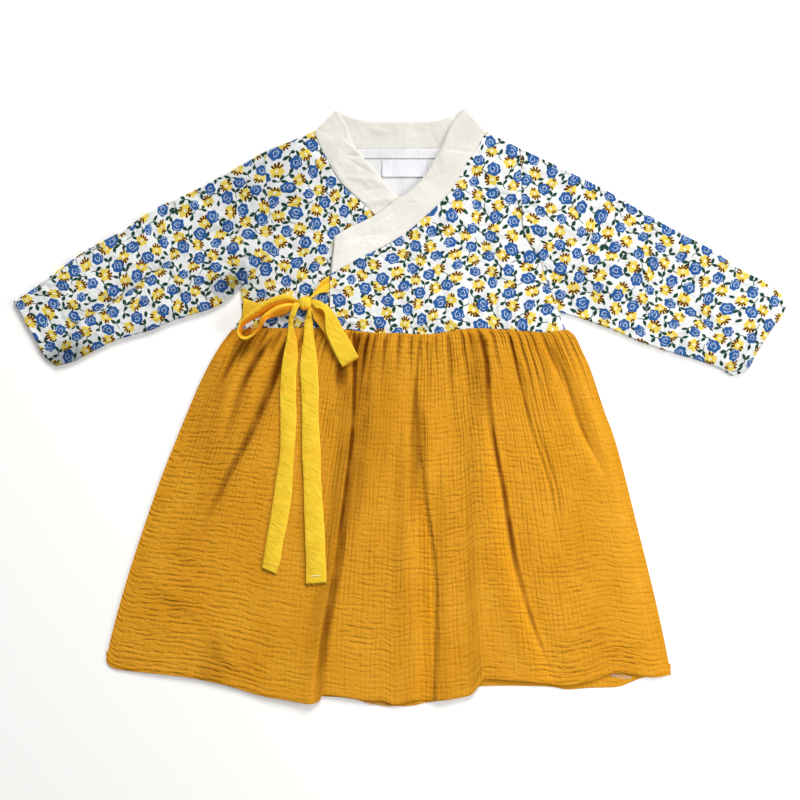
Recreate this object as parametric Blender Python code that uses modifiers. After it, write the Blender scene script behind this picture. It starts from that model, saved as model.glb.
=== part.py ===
"""A child's one-piece ruqun laid flat: a cross-collar bodice of printed lawn over a gathered double-gauze skirt.

Metres, +Z up. The back of the dress rests on z = 0 and the front faces +Z, with the hem towards -Y and the collar
towards +Y. The origin is under the middle of the outline. Left and right are as seen from above. Every table is in
millimetres, and every cloth is an open sheet with its wall added by a Solidify modifier.
"""
import math

import bpy
import numpy as np
from mathutils import Matrix

MM = 0.001
SEAM = 0.3            # between two cloths that are sewn together
CHORD = 0.3           # how far a straight span leaves a curved seam, added to the gap there
LAWN = 1.2            # wall of the printed bodice and sleeves
GAUZE = 1.2           # wall of the skirt
LINEN = 1.6           # collar band, two layers pressed together
TAPE = 1.0            # ties, lining, neck tape and label
BACK_TOP = LAWN       # the back lies on z = 0, so this is its upper face
LOWEST_FRONT = BACK_TOP + SEAM + GAUZE / 2    # middle of a front cloth that touches the back
COLLAR_FOLD = LINEN + SEAM                    # between the middles of the two layers at a shoulder fold
UNDER_LEVEL = 3.3     # middle of the under front, just over the back
OVER_LEVEL = 5.6      # middle of the over front, where the under front and its collar lie below it
OVER_BESIDE = 3.5     # middle of the over front beyond the hidden edge of the under front
WRAP_END = 72.0       # x from which the over front rises towards OVER_LEVEL, over WRAP_RISE
WRAP_RISE = 24.0
ARMHOLE_LEVEL = 3.2   # middle of a front along its armhole seam
NECK_BLEND = 16.0     # how far a front takes on the height of the collar it is sewn to
SIDE_BLEND = 14.0     # how far it comes down to its side seam and armhole
SHOULDER_ROWS = 3     # rows of points over which a front comes down to the shoulder

# Collar band, from the free end of its over stretch to the hidden end of its under stretch. The inner edge is the
# free one, and the outer edge is sewn to the bodice. z is the middle of the band.
COLLAR_OVER = [
    # inner x, inner y, outer x, outer y, z
    (-63.7, 162.2, -67.5, 126.0, 5.7),
    (-48.5, 170.9, -46.6, 137.3, 5.7),
    (-33.3, 178.1, -28.5, 146.5, 5.7),
    (-18.1, 186.7, -9.5, 156.5, 5.7),
    (-4.8, 197.1, 7.6, 167.7, 5.7),
    (6.5, 203.8, 21.9, 180.0, 5.7),
    (16.2, 212.8, 34.2, 191.4, 5.5),
    (23.8, 222.3, 44.7, 202.4, 5.1),
    (30.4, 232.8, 54.2, 215.7, 5.0),
    (36.1, 242.7, 62.7, 232.3, 4.5),
    (40.9, 253.2, 71.7, 244.6, 3.6),
    (46.6, 266.5, 77.9, 256.5, 3.0),
    (60.0, 284.3, 82.1, 261.4, 2.7),
]
COLLAR_BACK = [
    (60.0, 284.3, 82.1, 261.4, 0.8),
    (48.5, 277.9, 61.8, 251.3, 0.8),
    (32.3, 273.1, 39.0, 245.6, 0.8),
    (18.1, 272.2, 19.0, 244.9, 0.8),
    (-1.0, 272.2, -1.0, 244.6, 0.8),
    (-20.0, 272.2, -20.9, 244.9, 0.8),
    (-34.2, 273.1, -39.0, 245.6, 0.8),
    (-50.4, 277.4, -61.8, 251.3, 0.8),
    (-61.3, 283.0, -82.6, 262.2, 0.8),
]
COLLAR_UNDER = [
    (-61.3, 283.0, -82.6, 262.2, 2.7),
    (-52.7, 269.3, -79.5, 253.7, 2.8),
    (-48.5, 256.0, -74.6, 243.2, 3.1),
    (-42.3, 246.1, -68.9, 232.3, 3.7),
    (-35.6, 237.0, -62.2, 220.9, 3.7),
    (-28.0, 229.0, -54.6, 210.9, 3.7),
    (-19.5, 218.5, -46.1, 202.8, 3.7),
    (-9.5, 206.6, -35.2, 192.9, 3.7),
    (1.0, 198.1, -22.8, 180.7, 3.7),
    (11.4, 191.0, -9.5, 169.1, 3.7),
    (22.8, 183.4, 3.8, 159.1, 3.7),
    (34.2, 177.7, 18.1, 150.6, 3.7),
    (45.0, 173.0, 33.3, 143.5, 3.7),
]

# Armhole seams from the shoulder to the underarm, then the side seams down to the waist.
ARMHOLE_LEFT = [(-130.2, 242.7), (-128.8, 225.0), (-127.0, 204.0), (-124.0, 184.0), (-121.9, 166.7),
                (-121.9, 153.4), (-131.1, 140.1), (-142.0, 127.0), (-152.6, 114.5)]
SIDE_LEFT = [(-152.6, 114.5), (-151.8, 100.0), (-152.0, 87.0), (-159.6, 74.6)]
ARMHOLE_RIGHT = [(113.1, 246.5), (114.0, 220.0), (114.8, 195.0), (116.6, 169.6), (123.0, 155.0),
                 (131.1, 142.0), (137.2, 124.9), (144.4, 105.9), (150.5, 90.7)]
SIDE_RIGHT = [(150.5, 90.7), (152.0, 85.0), (154.0, 80.0), (156.8, 74.1)]
WRAP_EDGE = -67.5     # free edge of the over front
UNDER_EDGE = 36.0     # hidden free edge of the under front, at the waist

# Waist seam of the front, from the left side seam to the right one.
WAIST = [(-159.6, 74.6), (-124.5, 75.5), (-96.0, 75.5), (-53.2, 73.9), (-22.8, 70.8), (-1.0, 70.8), (25.2, 69.6),
         (55.7, 74.1), (71.0, 75.5), (88.8, 74.8), (123.1, 72.4), (142.2, 71.7), (156.8, 74.1)]

# Sleeve outlines, from the armhole to the cuff, and the cuffs from their upper to their lower corner.
SLEEVE_LEFT_TOP = [(-130.2, 242.7), (-160.6, 225.6), (-195.7, 206.6), (-236.6, 187.6), (-264.1, 168.6),
                   (-299.3, 149.6), (-325.9, 130.6), (-351.5, 111.6), (-368.4, 101.0)]
SLEEVE_LEFT_BOTTOM = [(-152.6, 114.5), (-165.3, 102.1), (-184.3, 92.6), (-214.7, 83.1), (-237.5, 73.6),
                      (-257.5, 67.9), (-278.4, 60.7), (-310.7, 43.8), (-327.4, 39.4)]
CUFF_LEFT = [(-368.4, 101.0), (-356.6, 80.3), (-348.7, 67.5), (-340.0, 50.0), (-327.4, 39.4)]
SLEEVE_RIGHT_TOP = [(113.1, 246.5), (156.8, 225.6), (194.8, 206.6), (227.1, 187.6), (260.3, 168.6),
                    (296.4, 149.6), (324.0, 130.6), (343.0, 121.1), (368.4, 103.0)]
SLEEVE_RIGHT_BOTTOM = [(150.5, 90.7), (175.8, 83.1), (201.4, 73.6), (223.3, 64.1), (248.9, 54.6),
                       (265.0, 49.9), (278.4, 46.1), (299.8, 38.5), (316.0, 29.6)]
CUFF_RIGHT = [(368.4, 103.0), (362.6, 88.8), (351.5, 73.6), (338.0, 52.1), (329.7, 36.6), (316.0, 29.6)]
SLEEVE_LOFT = [
    # share of the sleeve's length, height of its upper face
    (0.00, 3.8), (0.10, 4.8), (0.25, 5.7), (0.50, 5.8), (0.75, 5.4), (0.92, 5.0), (1.00, 4.8),
]
SLEEVE_CREASES = [
    # x and y of the two ends, depth, half width
    (-337.0, 72.0, -201.0, 154.0, 1.3, 9.0),
    (-185.0, 165.0, -140.0, 150.0, 0.9, 9.0),
    (-320.0, 105.0, -270.0, 128.0, 0.6, 8.0),
    (135.0, 160.0, 215.0, 120.0, 0.9, 11.0),
    (200.0, 170.0, 285.0, 110.0, 0.7, 12.0),
    (290.0, 95.0, 338.0, 72.0, 0.7, 8.0),
]

# Skirt outline. The side tables give x for a height y, and run a little past the hem.
SKIRT_LEFT = [(-160.5, 74.6), (-174.8, 54.6), (-190.0, 26.1), (-203.0, -4.0), (-226.1, -61.3), (-242.3, -106.9),
              (-259.4, -159.1), (-273.6, -209.5), (-280.5, -240.8), (-287.5, -286.0)]
SKIRT_RIGHT = [(158.7, 74.1), (165.8, 67.5), (172.0, 54.6), (180.5, 35.6), (193.8, -4.3), (202.4, -27.1),
               (211.9, -61.3), (226.1, -118.3), (237.5, -163.9), (248.0, -209.5), (256.8, -253.7), (262.0, -286.0)]
HEM_FRONT = [(-280.5, -240.8), (-276.5, -246.1), (-264.1, -249.4), (-228.0, -253.2), (-203.3, -256.0),
             (-178.6, -260.8), (-159.6, -265.5), (-134.0, -273.1), (-109.3, -277.4), (-87.4, -281.0),
             (-78.0, -278.8), (-74.8, -273.1), (-61.8, -273.8), (-34.7, -277.9), (-17.4, -278.4), (-5.9, -282.2),
             (11.4, -278.4), (38.0, -277.9), (60.8, -274.4), (67.8, -271.5), (74.7, -263.4), (79.8, -257.9),
             (105.5, -259.4), (135.9, -261.7), (157.4, -263.8), (180.5, -259.3), (198.6, -253.2),
             (212.8, -251.9), (232.8, -255.6), (244.7, -256.0), (256.8, -253.7)]
HEM_BACK = [(-280.5, -240.8), (-228.0, -251.3), (-159.6, -263.6), (-109.3, -274.1), (-75.0, -275.0),
            (-48.5, -276.9), (-29.5, -281.7), (-12.7, -284.1), (9.1, -284.1), (21.9, -281.3), (38.0, -278.8),
            (60.8, -273.1), (75.0, -265.5), (135.9, -265.5), (157.7, -268.4), (178.0, -267.0), (206.0, -265.9),
            (218.0, -261.7), (231.3, -257.0), (256.8, -252.0)]

# Gathers along the front waist seam, one x for each valley.
GATHERS = [-148.0, -137.0, -126.3, -113.0, -102.0, -90.0, -78.9, -72.2, -67.5, -58.0, -48.5, -39.0, -30.8,
           -24.7, -14.7, -2.2, 9.3, 16.9, 23.0, 30.4, 41.8, 55.7, 61.8, 72.0, 83.6, 91.2, 97.9, 107.4, 113.1,
           118.5, 129.2, 137.8, 145.0, 151.5]
GATHER_HEIGHT = 1.3   # half the height of a gather's wave just under the seam
GATHER_REACH = 62.0   # how far down the waves have faded to a third
WAIST_BLEND = 26.0    # how far the skirt takes on the height of the bodice it is sewn to
SIDE_EDGE = 16.0      # width over which it comes down to a side seam
FOLDS = [
    # share of the width at waist and hem, share of the length at both ends, height, reach to the left and right
    (0.120, 0.085, 0.02, 0.60, 1.3, 16.0, 9.0),
    (0.165, 0.105, 0.02, 0.60, -1.0, 9.0, 14.0),
    (0.235, 0.215, 0.04, 0.90, 1.1, 26.0, 26.0),
    (0.375, 0.385, 0.13, 1.20, 2.8, 30.0, 5.0),
    (0.405, 0.405, 0.02, 0.95, -1.3, 8.0, 16.0),
    (0.500, 0.480, 0.05, 1.20, 0.8, 22.0, 20.0),
    (0.535, 0.565, 0.02, 1.20, 2.3, 13.0, 5.0),
    (0.562, 0.590, 0.00, 1.20, -1.3, 6.0, 10.0),
    (0.650, 0.665, 0.04, 1.20, 1.2, 22.0, 24.0),
    (0.722, 0.775, 0.02, 1.20, -1.1, 20.0, 6.0),
    (0.748, 0.805, 0.02, 1.20, 2.4, 5.0, 20.0),
    (0.812, 0.820, 0.00, 0.40, -0.8, 7.0, 7.0),
    (0.850, 0.880, 0.02, 0.90, 0.9, 14.0, 18.0),
    (0.915, 0.965, 0.00, 0.50, -0.9, 8.0, 6.0),
]
SKIRT_DOME = 1.3      # how far the front rises over the back between the side seams

# Ties of woven tape. Each row has the two edges of the tape, x and y each, and the lift over what lies below.
TIE_SIDE_LEAD = [
    (-150.3, 104.2, -150.6, 83.0, 0.4),
    (-143.0, 101.8, -143.0, 84.5, 0.4),
    (-134.5, 98.8, -134.5, 86.6, 0.4),
    (-122.0, 98.0, -122.0, 90.3, 0.5),
    (-110.0, 98.5, -110.0, 93.8, 0.6),
    (-99.4, 99.5, -99.4, 96.3, 0.8),
]
TIE_TAIL_LEFT = [
    (-103.2, 91.6, -97.4, 89.6, 0.6),
    (-106.2, 84.6, -100.0, 84.0, 0.5),
    (-107.8, 75.5, -102.1, 75.5, 0.4),
    (-110.7, 62.2, -100.7, 62.2, 0.5),
    (-113.0, 48.9, -96.9, 48.9, 0.4),
    (-114.0, 31.8, -98.2, 31.8, 0.4),
    (-115.0, 10.9, -98.6, 10.9, 0.4),
    (-115.0, -11.9, -98.8, -11.9, 0.4),
    (-115.4, -42.3, -101.0, -42.3, 0.4),
    (-119.2, -68.9, -102.6, -68.9, 0.4),
    (-121.6, -87.9, -104.0, -87.9, 0.4),
    (-124.5, -106.9, -107.2, -107.4, 0.4),
    (-127.8, -125.9, -111.5, -128.0, 0.4),
    (-130.2, -140.1, -113.9, -144.0, 0.4),
    (-132.4, -152.6, -118.3, -158.7, 0.4),
]
TIE_TAIL_RIGHT = [
    (-90.4, 90.9, -86.9, 90.9, 1.6),
    (-91.7, 85.0, -85.0, 85.0, 1.0),
    (-93.1, 78.4, -83.6, 78.4, 0.6),
    (-93.1, 63.2, -81.2, 63.2, 0.5),
    (-96.0, 40.4, -78.9, 40.4, 0.4),
    (-95.0, 17.6, -77.9, 17.6, 0.4),
    (-94.1, -11.9, -77.9, -11.9, 0.4),
    (-94.1, -42.3, -76.0, -42.3, 0.4),
    (-93.1, -68.9, -75.1, -68.9, 0.4),
    (-91.7, -106.9, -72.7, -106.9, 0.4),
    (-91.2, -130.6, -71.7, -130.6, 0.4),
    (-90.7, -145.5, -71.0, -145.0, 0.4),
    (-90.7, -168.4, -70.3, -166.7, 0.4),
]
TIE_FRONT_LEAD = [
    # x, y and z of one edge, then of the other
    (-68.1, 125.4, 5.6, -68.1, 109.3, 5.6),
    (-72.5, 122.3, 5.8, -72.0, 108.9, 5.8),
    (-76.8, 118.1, 6.2, -75.4, 108.6, 6.2),
    (-80.8, 112.0, 6.8, -79.4, 107.2, 6.8),
    (-84.4, 106.6, 7.4, -83.6, 104.6, 7.4),
]
LOOP_RIGHT = [
    # left edge x, y and z over the cloth below, then the right edge: over, round the fold, and back
    (-84.1, 97.9, 2.7, -84.1, 102.4, 2.7),
    (-80.8, 93.6, 4.5, -77.9, 100.9, 4.1),
    (-77.0, 92.3, 5.9, -72.2, 97.9, 5.3),
    (-73.2, 89.8, 6.7, -66.5, 93.1, 5.7),
    (-71.4, 85.0, 6.5, -62.2, 87.9, 5.5),
    (-70.8, 77.4, 5.7, -58.0, 79.8, 5.1),
    (-68.9, 68.9, 5.1, -53.9, 72.7, 4.7),
    (-66.0, 60.3, 4.7, -49.4, 64.1, 4.4),
    (-62.7, 52.7, 4.3, -44.2, 55.1, 4.0),
    (-59.4, 45.3, 3.7, -40.4, 48.9, 3.5),
    (-57.0, 40.0, 2.9, -39.4, 47.3, 2.9),
    (-56.1, 37.7, 2.1, -39.2, 46.6, 2.1),
    (-57.0, 39.8, 1.4, -40.0, 47.4, 1.4),
    (-60.4, 45.0, 1.1, -42.4, 50.0, 1.1),
    (-65.1, 53.6, 1.0, -47.5, 57.5, 1.0),
    (-69.4, 63.2, 0.9, -52.3, 67.0, 0.9),
    (-73.4, 71.3, 0.9, -57.0, 75.5, 0.9),
    (-78.9, 78.8, 0.8, -63.7, 83.1, 0.9),
    (-82.7, 83.6, 0.8, -71.3, 88.5, 0.9),
    (-84.4, 89.8, 0.7, -78.4, 93.2, 0.9),
    (-84.6, 93.6, 0.7, -82.4, 97.0, 0.9),
]
LOOP_LEFT = [
    # lower edge x, y and z over the cloth below, then the upper edge, which leans towards the shoulder
    (-99.1, 98.6, 0.6, -99.4, 100.4, 5.4),
    (-107.4, 98.3, 0.5, -109.6, 102.6, 8.9),
    (-118.8, 96.0, 0.3, -122.4, 101.8, 11.4),
    (-129.2, 89.8, 0.2, -133.4, 96.0, 12.8),
    (-136.8, 82.2, 0.2, -141.1, 88.4, 13.2),
    (-144.4, 73.2, 0.2, -148.7, 79.4, 13.0),
    (-149.2, 66.5, 0.2, -153.4, 72.6, 12.6),
    (-147.9, 62.7, 0.2, -152.2, 68.8, 12.4),
    (-142.5, 64.4, 0.2, -146.8, 70.5, 12.6),
    (-135.4, 71.4, 0.2, -139.7, 77.4, 13.0),
    (-130.2, 78.2, 0.2, -134.4, 84.0, 12.8),
    (-124.2, 85.0, 0.2, -128.0, 90.6, 12.0),
    (-117.8, 89.8, 0.3, -120.8, 95.0, 10.6),
    (-111.2, 92.6, 0.4, -113.4, 96.8, 8.6),
    (-104.6, 94.3, 0.5, -105.8, 97.4, 6.4),
    (-99.1, 95.2, 0.6, -99.4, 96.6, 4.8),
]
KNOT_CENTRE = (-92.0, 98.2, 8.2)
KNOT_SIZE = (13.8, 13.4, 7.0)
CAGE_OVER_ROUND = 1.16      # a cube cage shrinks by this much when it is subdivided
TIE_FOOTPRINT = 5.0         # cloth this near a point of a tape is taken to lie below it

# Inside the neck: the white lining with the tape and label over it.
LINING_LEFT = [(-37.5, 243.9), (-39.5, 237.0), (-32.0, 228.0), (-24.0, 218.0), (-14.0, 205.0), (-4.0, 194.0)]
LINING_RIGHT = [(34.8, 243.9), (35.5, 234.5), (29.5, 224.0), (22.0, 213.0), (12.0, 203.0), (2.0, 194.0)]
LINING_HEIGHT = BACK_TOP + SEAM + TAPE / 2
NECK_TAPE = ((-36.5, 244.0), (34.5, 244.0), (-33.5, 236.2), (30.6, 236.2))
LABEL = ((-18.5, 235.3), (25.2, 235.3), (-18.5, 219.0), (25.2, 219.0))
LABEL_HEIGHT = LINING_HEIGHT + SEAM + TAPE


def smooth_curve(table, steps):
    """Catmull-Rom curve through the rows of a table, with `steps` spans between each two rows."""
    rows = np.array(table, dtype=float)
    before = np.vstack([2 * rows[0] - rows[1], rows[:-2]])
    after = np.vstack([rows[2:], 2 * rows[-1] - rows[-2]])
    start, end = rows[:-1], rows[1:]
    spans = []
    for t in np.arange(steps) / steps:
        spans.append(0.5 * (2 * start + (end - before) * t + (2 * before - 5 * start + 4 * end - after) * t**2
                            + (3 * start - before - 3 * end + after) * t**3))
    curve = np.stack(spans, axis=1).reshape(-1, rows.shape[1])
    return np.vstack([curve, rows[-1]])


def along(curve, shares):
    """Points of a curve at given shares of its length."""
    curve = np.asarray(curve, dtype=float)
    lengths = np.concatenate([[0], np.cumsum(np.linalg.norm(np.diff(curve[:, :2], axis=0), axis=1))])
    return np.column_stack([np.interp(shares, lengths / lengths[-1], c) for c in curve.T])


def at_heights(curve, y):
    """Points of a curve, which falls all the way, at given values of y."""
    curve = np.asarray(curve, dtype=float)[::-1]
    return np.column_stack([np.interp(y, curve[:, 1], curve[:, 0]), y])


def ease(x):
    """Smooth step from 0 to 1."""
    x = np.clip(x, 0, 1)
    return x * x * (3 - 2 * x)


def coons(top, bottom, left, right, u, v):
    """Grid of points between four edges that share their corners: rows by v, columns by u."""
    u, v = u[None, :, None], v[:, None, None]
    across = (1 - v) * top[None] + v * bottom[None]
    down = (1 - u) * left[:, None] + u * right[:, None]
    corners = (1 - v) * ((1 - u) * top[0] + u * top[-1]) + v * ((1 - u) * bottom[0] + u * bottom[-1])
    return across + down - corners


def waist_at(x):
    """Height of the waist seam at x, on a smooth curve."""
    curve = smooth_curve(WAIST, 6)
    return np.interp(x, curve[:, 0], curve[:, 1])


def with_heights(grid, heights):
    return np.dstack([grid[..., 0], grid[..., 1], np.broadcast_to(heights, grid.shape[:2])])


def cloth_material(name, red, green, blue, roughness=0.85):
    material = bpy.data.materials.new(name)
    material.use_nodes = True
    shader = material.node_tree.nodes["Principled BSDF"]
    shader.inputs["Base Color"].default_value = (red, green, blue, 1)
    shader.inputs["Roughness"].default_value = roughness
    shader.inputs["Metallic"].default_value = 0
    return material


def sheet(name, grid, wall, material, offset=0.0, ring=False):
    """Open quad sheet through a grid of points, with its wall from Solidify. A ring joins its last column to its
    first. `offset` is 1 where the grid is the lower face, 0 where it is the middle, -1 where it is the outside."""
    rows, columns = grid.shape[:2]
    across = columns if ring else columns - 1
    row, column = np.meshgrid(np.arange(rows - 1), np.arange(across), indexing="ij")
    row, column = row.ravel(), column.ravel()
    beside = (column + 1) % columns
    faces = np.column_stack([row * columns + column, (row + 1) * columns + column,
                             (row + 1) * columns + beside, row * columns + beside])
    mesh = bpy.data.meshes.new(name)
    mesh.from_pydata((grid.reshape(-1, 3) * MM).tolist(), [], faces.tolist())
    mesh.materials.append(material)
    mesh.shade_smooth()
    piece = bpy.data.objects.new(name, mesh)
    dress.objects.link(piece)
    solidify = piece.modifiers.new("wall", "SOLIDIFY")
    solidify.thickness = wall * MM
    solidify.offset = offset
    solidify.use_even_offset = not ring
    return piece


def between(grid, times):
    """The same sheet with `times` spans for each one, read straight between its points."""
    for axis in (0, 1):
        count = grid.shape[axis]
        place = np.linspace(0, count - 1, (count - 1) * times + 1)
        low = np.minimum(place.astype(int), count - 2)
        share = place - low
        shape = (-1, 1, 1) if axis == 0 else (1, -1, 1)
        grid = np.take(grid, low, axis) * (1 - share).reshape(shape) \
            + np.take(grid, low + 1, axis) * share.reshape(shape)
    return grid


def top_under(points, grids):
    """Highest upper face of the cloths near each point."""
    cloth = np.vstack([between(grid, 8).reshape(-1, 3) for grid in grids])
    near = np.hypot(cloth[None, :, 0] - points[:, None, 0], cloth[None, :, 1] - points[:, None, 1]) < TIE_FOOTPRINT
    return np.where(near, cloth[None, :, 2], 0).max(axis=1) + GAUZE / 2


def collar_points():
    """One row of the band after the other: over stretch, right fold, back, left fold, under stretch."""
    over = smooth_curve(COLLAR_OVER, 1)
    back = smooth_curve(COLLAR_BACK, 1)
    under = smooth_curve(COLLAR_UNDER, 1)
    tuck = COLLAR_FOLD / 2

    def fold(row, inward):
        """Half turn about the fold line, from above it to below it."""
        turn = np.linspace(0, math.pi, 5)[:, None]
        shift = inward * (tuck * (1 - np.sin(turn)) + LINEN / 2)
        z = row[4] - tuck + tuck * np.cos(turn)
        return np.hstack([row[:2] + shift, row[2:4] + shift, z])

    right = fold(over[-1], np.array([-0.72, -0.69]))
    left = fold(under[0], np.array([0.70, -0.72]))[::-1]
    rows = np.vstack([over[:-1], right, back[1:-1], left, under[1:]])
    inset = rows[:, :2] - rows[:, 2:4]
    inset *= SEAM / np.linalg.norm(inset, axis=1)[:, None]
    rows[:, 2:4] += inset
    shares = np.linspace(0, 1, 4)[None, :, None]
    flat = rows[:, None, :2] * (1 - shares) + rows[:, None, 2:4] * shares
    return np.dstack([flat, np.repeat(rows[:, 4:5], 4, axis=1)])


def front_points(side, seam_rows, edge_x, columns, base):
    """One front: its side follows the armhole and side seam, its neck edge the collar and then the wrap edge."""
    armhole, side_seam = side
    neck = np.array(seam_rows)[:, 2:4]
    wrap = np.linspace(neck[-1], (edge_x, waist_at(edge_x)), 5)[1:]
    neck_edge = np.vstack([neck, wrap])
    seam_z = np.concatenate([np.array(seam_rows)[:, 4], np.full(4, seam_rows[-1][4])])
    rows = len(neck_edge)
    curve = np.vstack([smooth_curve(armhole, 4), smooth_curve(side_seam, 4)[1:]])
    start_y, end_y = curve[0, 1], curve[-1, 1]
    progress = (neck_edge[0, 1] - neck_edge[:, 1]) / (neck_edge[0, 1] - neck_edge[-1, 1])
    side_edge = at_heights(curve, start_y + (end_y - start_y) * progress)
    side_edge[0], side_edge[-1] = curve[0], curve[-1]
    u = np.linspace(0, 1, columns)
    v = np.linspace(0, 1, rows)
    bottom_x = neck_edge[-1, 0] + (side_edge[-1, 0] - neck_edge[-1, 0]) * u
    bottom = np.column_stack([bottom_x, waist_at(bottom_x)])
    top = neck_edge[0] + (side_edge[0] - neck_edge[0]) * u[:, None]
    grid = coons(top, bottom, neck_edge, side_edge, u, v)
    from_neck = np.linalg.norm(grid - grid[:, :1], axis=2)
    from_side = np.linalg.norm(grid - grid[:, -1:], axis=2)
    z = base(grid[..., 0])
    z = z + (seam_z[:, None] - z[:, :1]) * np.exp(-(from_neck / NECK_BLEND) ** 2)
    under_arm = side_edge[:, 1] < armhole[-1][1] + 4
    at_side = np.where(under_arm, LOWEST_FRONT, ARMHOLE_LEVEL)[:, None]
    z = z + (at_side - z[:, -1:]) * np.exp(-(from_side / SIDE_BLEND) ** 2)
    shoulder = ease(v / v[SHOULDER_ROWS])[:, None]
    z = LOWEST_FRONT + (z - LOWEST_FRONT) * shoulder
    return with_heights(grid, np.maximum(z, LOWEST_FRONT))


def over_wrap(x):
    """Over front: high where the under front and its collar lie below, lower beyond the hidden edge."""
    return OVER_BESIDE + (OVER_LEVEL - OVER_BESIDE) * ease((WRAP_END - x) / WRAP_RISE)


def over_back(x):
    """Under front: it lies just over the back."""
    return np.full_like(x, UNDER_LEVEL)


def back_points():
    """Back of the bodice, between the shoulders, the neck seam, the side seams and the waist."""
    neck = np.array(COLLAR_BACK)[::-1, 2:4]
    top = np.vstack([np.linspace(ARMHOLE_LEFT[0], neck[0], 4)[:-1], neck,
                     np.linspace(neck[-1], ARMHOLE_RIGHT[0], 4)[1:]])
    left = np.vstack([smooth_curve(ARMHOLE_LEFT, 2), SIDE_LEFT[1:]])
    right = np.vstack([smooth_curve(ARMHOLE_RIGHT, 2), SIDE_RIGHT[1:]])
    u = (top[:, 0] - top[0, 0]) / (top[-1, 0] - top[0, 0])
    v = np.linspace(0, 1, len(left))
    bottom = left[-1] + (right[-1] - left[-1]) * u[:, None]
    grid = coons(top, bottom, left, right, u, v)
    grid[0, 3:-3, 1] -= SEAM + CHORD
    return with_heights(grid, 0.0)


def sleeve_points(top_edge, bottom_edge, armhole, cuff, away):
    """Rings of a flattened tube from the armhole to the cuff: flat below, rounded at both edges, domed above.
    `away` moves the first ring clear of the bodice."""
    rings, half_turn = 16, 2
    u = np.linspace(0, 1, rings) ** 1.05
    upper, lower = along(smooth_curve(top_edge, 6), u), along(smooth_curve(bottom_edge, 6), u)
    height = np.interp(u, [r[0] for r in SLEEVE_LOFT], [r[1] for r in SLEEVE_LOFT])
    arm_curve, cuff_curve = smooth_curve(armhole, 6), smooth_curve(cuff, 6)
    width = np.linalg.norm(upper - lower, axis=1)
    radius = height / 2 / width
    turn = np.linspace(0, math.pi, 2 * half_turn + 1)
    points = []
    inner = np.linspace(0, 1, 10)[1:-1]
    for i in range(rings):
        r = radius[i]
        edge_up = r * (1 - np.sin(turn)), 0.5 * (1 - np.cos(turn))
        over = r + (1 - 2 * r) * inner, np.ones(len(inner))
        edge_low = 1 - edge_up[0], edge_up[1][::-1]
        below = over[0][::-1], np.zeros(len(inner))
        share = np.concatenate([edge_up[0], over[0], edge_low[0], below[0]])
        lift = np.concatenate([edge_up[1], over[1], edge_low[1], below[1]])
        arm, end = along(arm_curve, share), along(cuff_curve, share)
        straight = (1 - share[:, None]) * (upper[i] - ((1 - u[i]) * upper[0] + u[i] * upper[-1])) \
            + share[:, None] * (lower[i] - ((1 - u[i]) * lower[0] + u[i] * lower[-1]))
        flat = (1 - u[i]) * arm + u[i] * end + straight
        flat = flat + np.array(away) * (SEAM + CHORD) * (1 - u[i])
        dome = 1 - 0.10 * np.cos(2 * math.pi * share)
        z = lift * height[i] * np.where(lift > 0.99, dome * (1 - 0.06 * (1 - u[i])), 1)
        for x1, y1, x2, y2, depth, half in SLEEVE_CREASES:
            run = np.array([x2 - x1, y2 - y1])
            reach = np.clip(((flat - (x1, y1)) @ run) / (run @ run), 0, 1)
            apart = np.linalg.norm(flat - (np.array([x1, y1]) + reach[:, None] * run), axis=1)
            z -= (lift > 0.99) * depth * np.exp(-(apart / half) ** 2)
        points.append(np.column_stack([flat, z]))
    return np.array(points)


def skirt_flat(u, v, waist, hem):
    """Place of a share u of the width and v of the length, where every height has its own width."""
    left, right = smooth_curve(SKIRT_LEFT, 4)[::-1], smooth_curve(SKIRT_RIGHT, 4)[::-1]

    def edges(y):
        return np.interp(y, left[:, 1], left[:, 0]), np.interp(y, right[:, 1], right[:, 0])

    def share_at(table):
        rows = np.array(table)
        low, high = edges(rows[:, 1])
        return (rows[:, 0] - low) / (high - low), rows[:, 1]

    waist_u, waist_y = share_at(waist)
    hem_u, hem_y = share_at(hem)
    top, bottom = np.interp(u, waist_u, waist_y) - SEAM - CHORD, np.interp(u, hem_u, hem_y)
    y = top + (bottom - top) * v
    low, high = edges(y)
    return low + (high - low) * u, y, high - low


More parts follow.
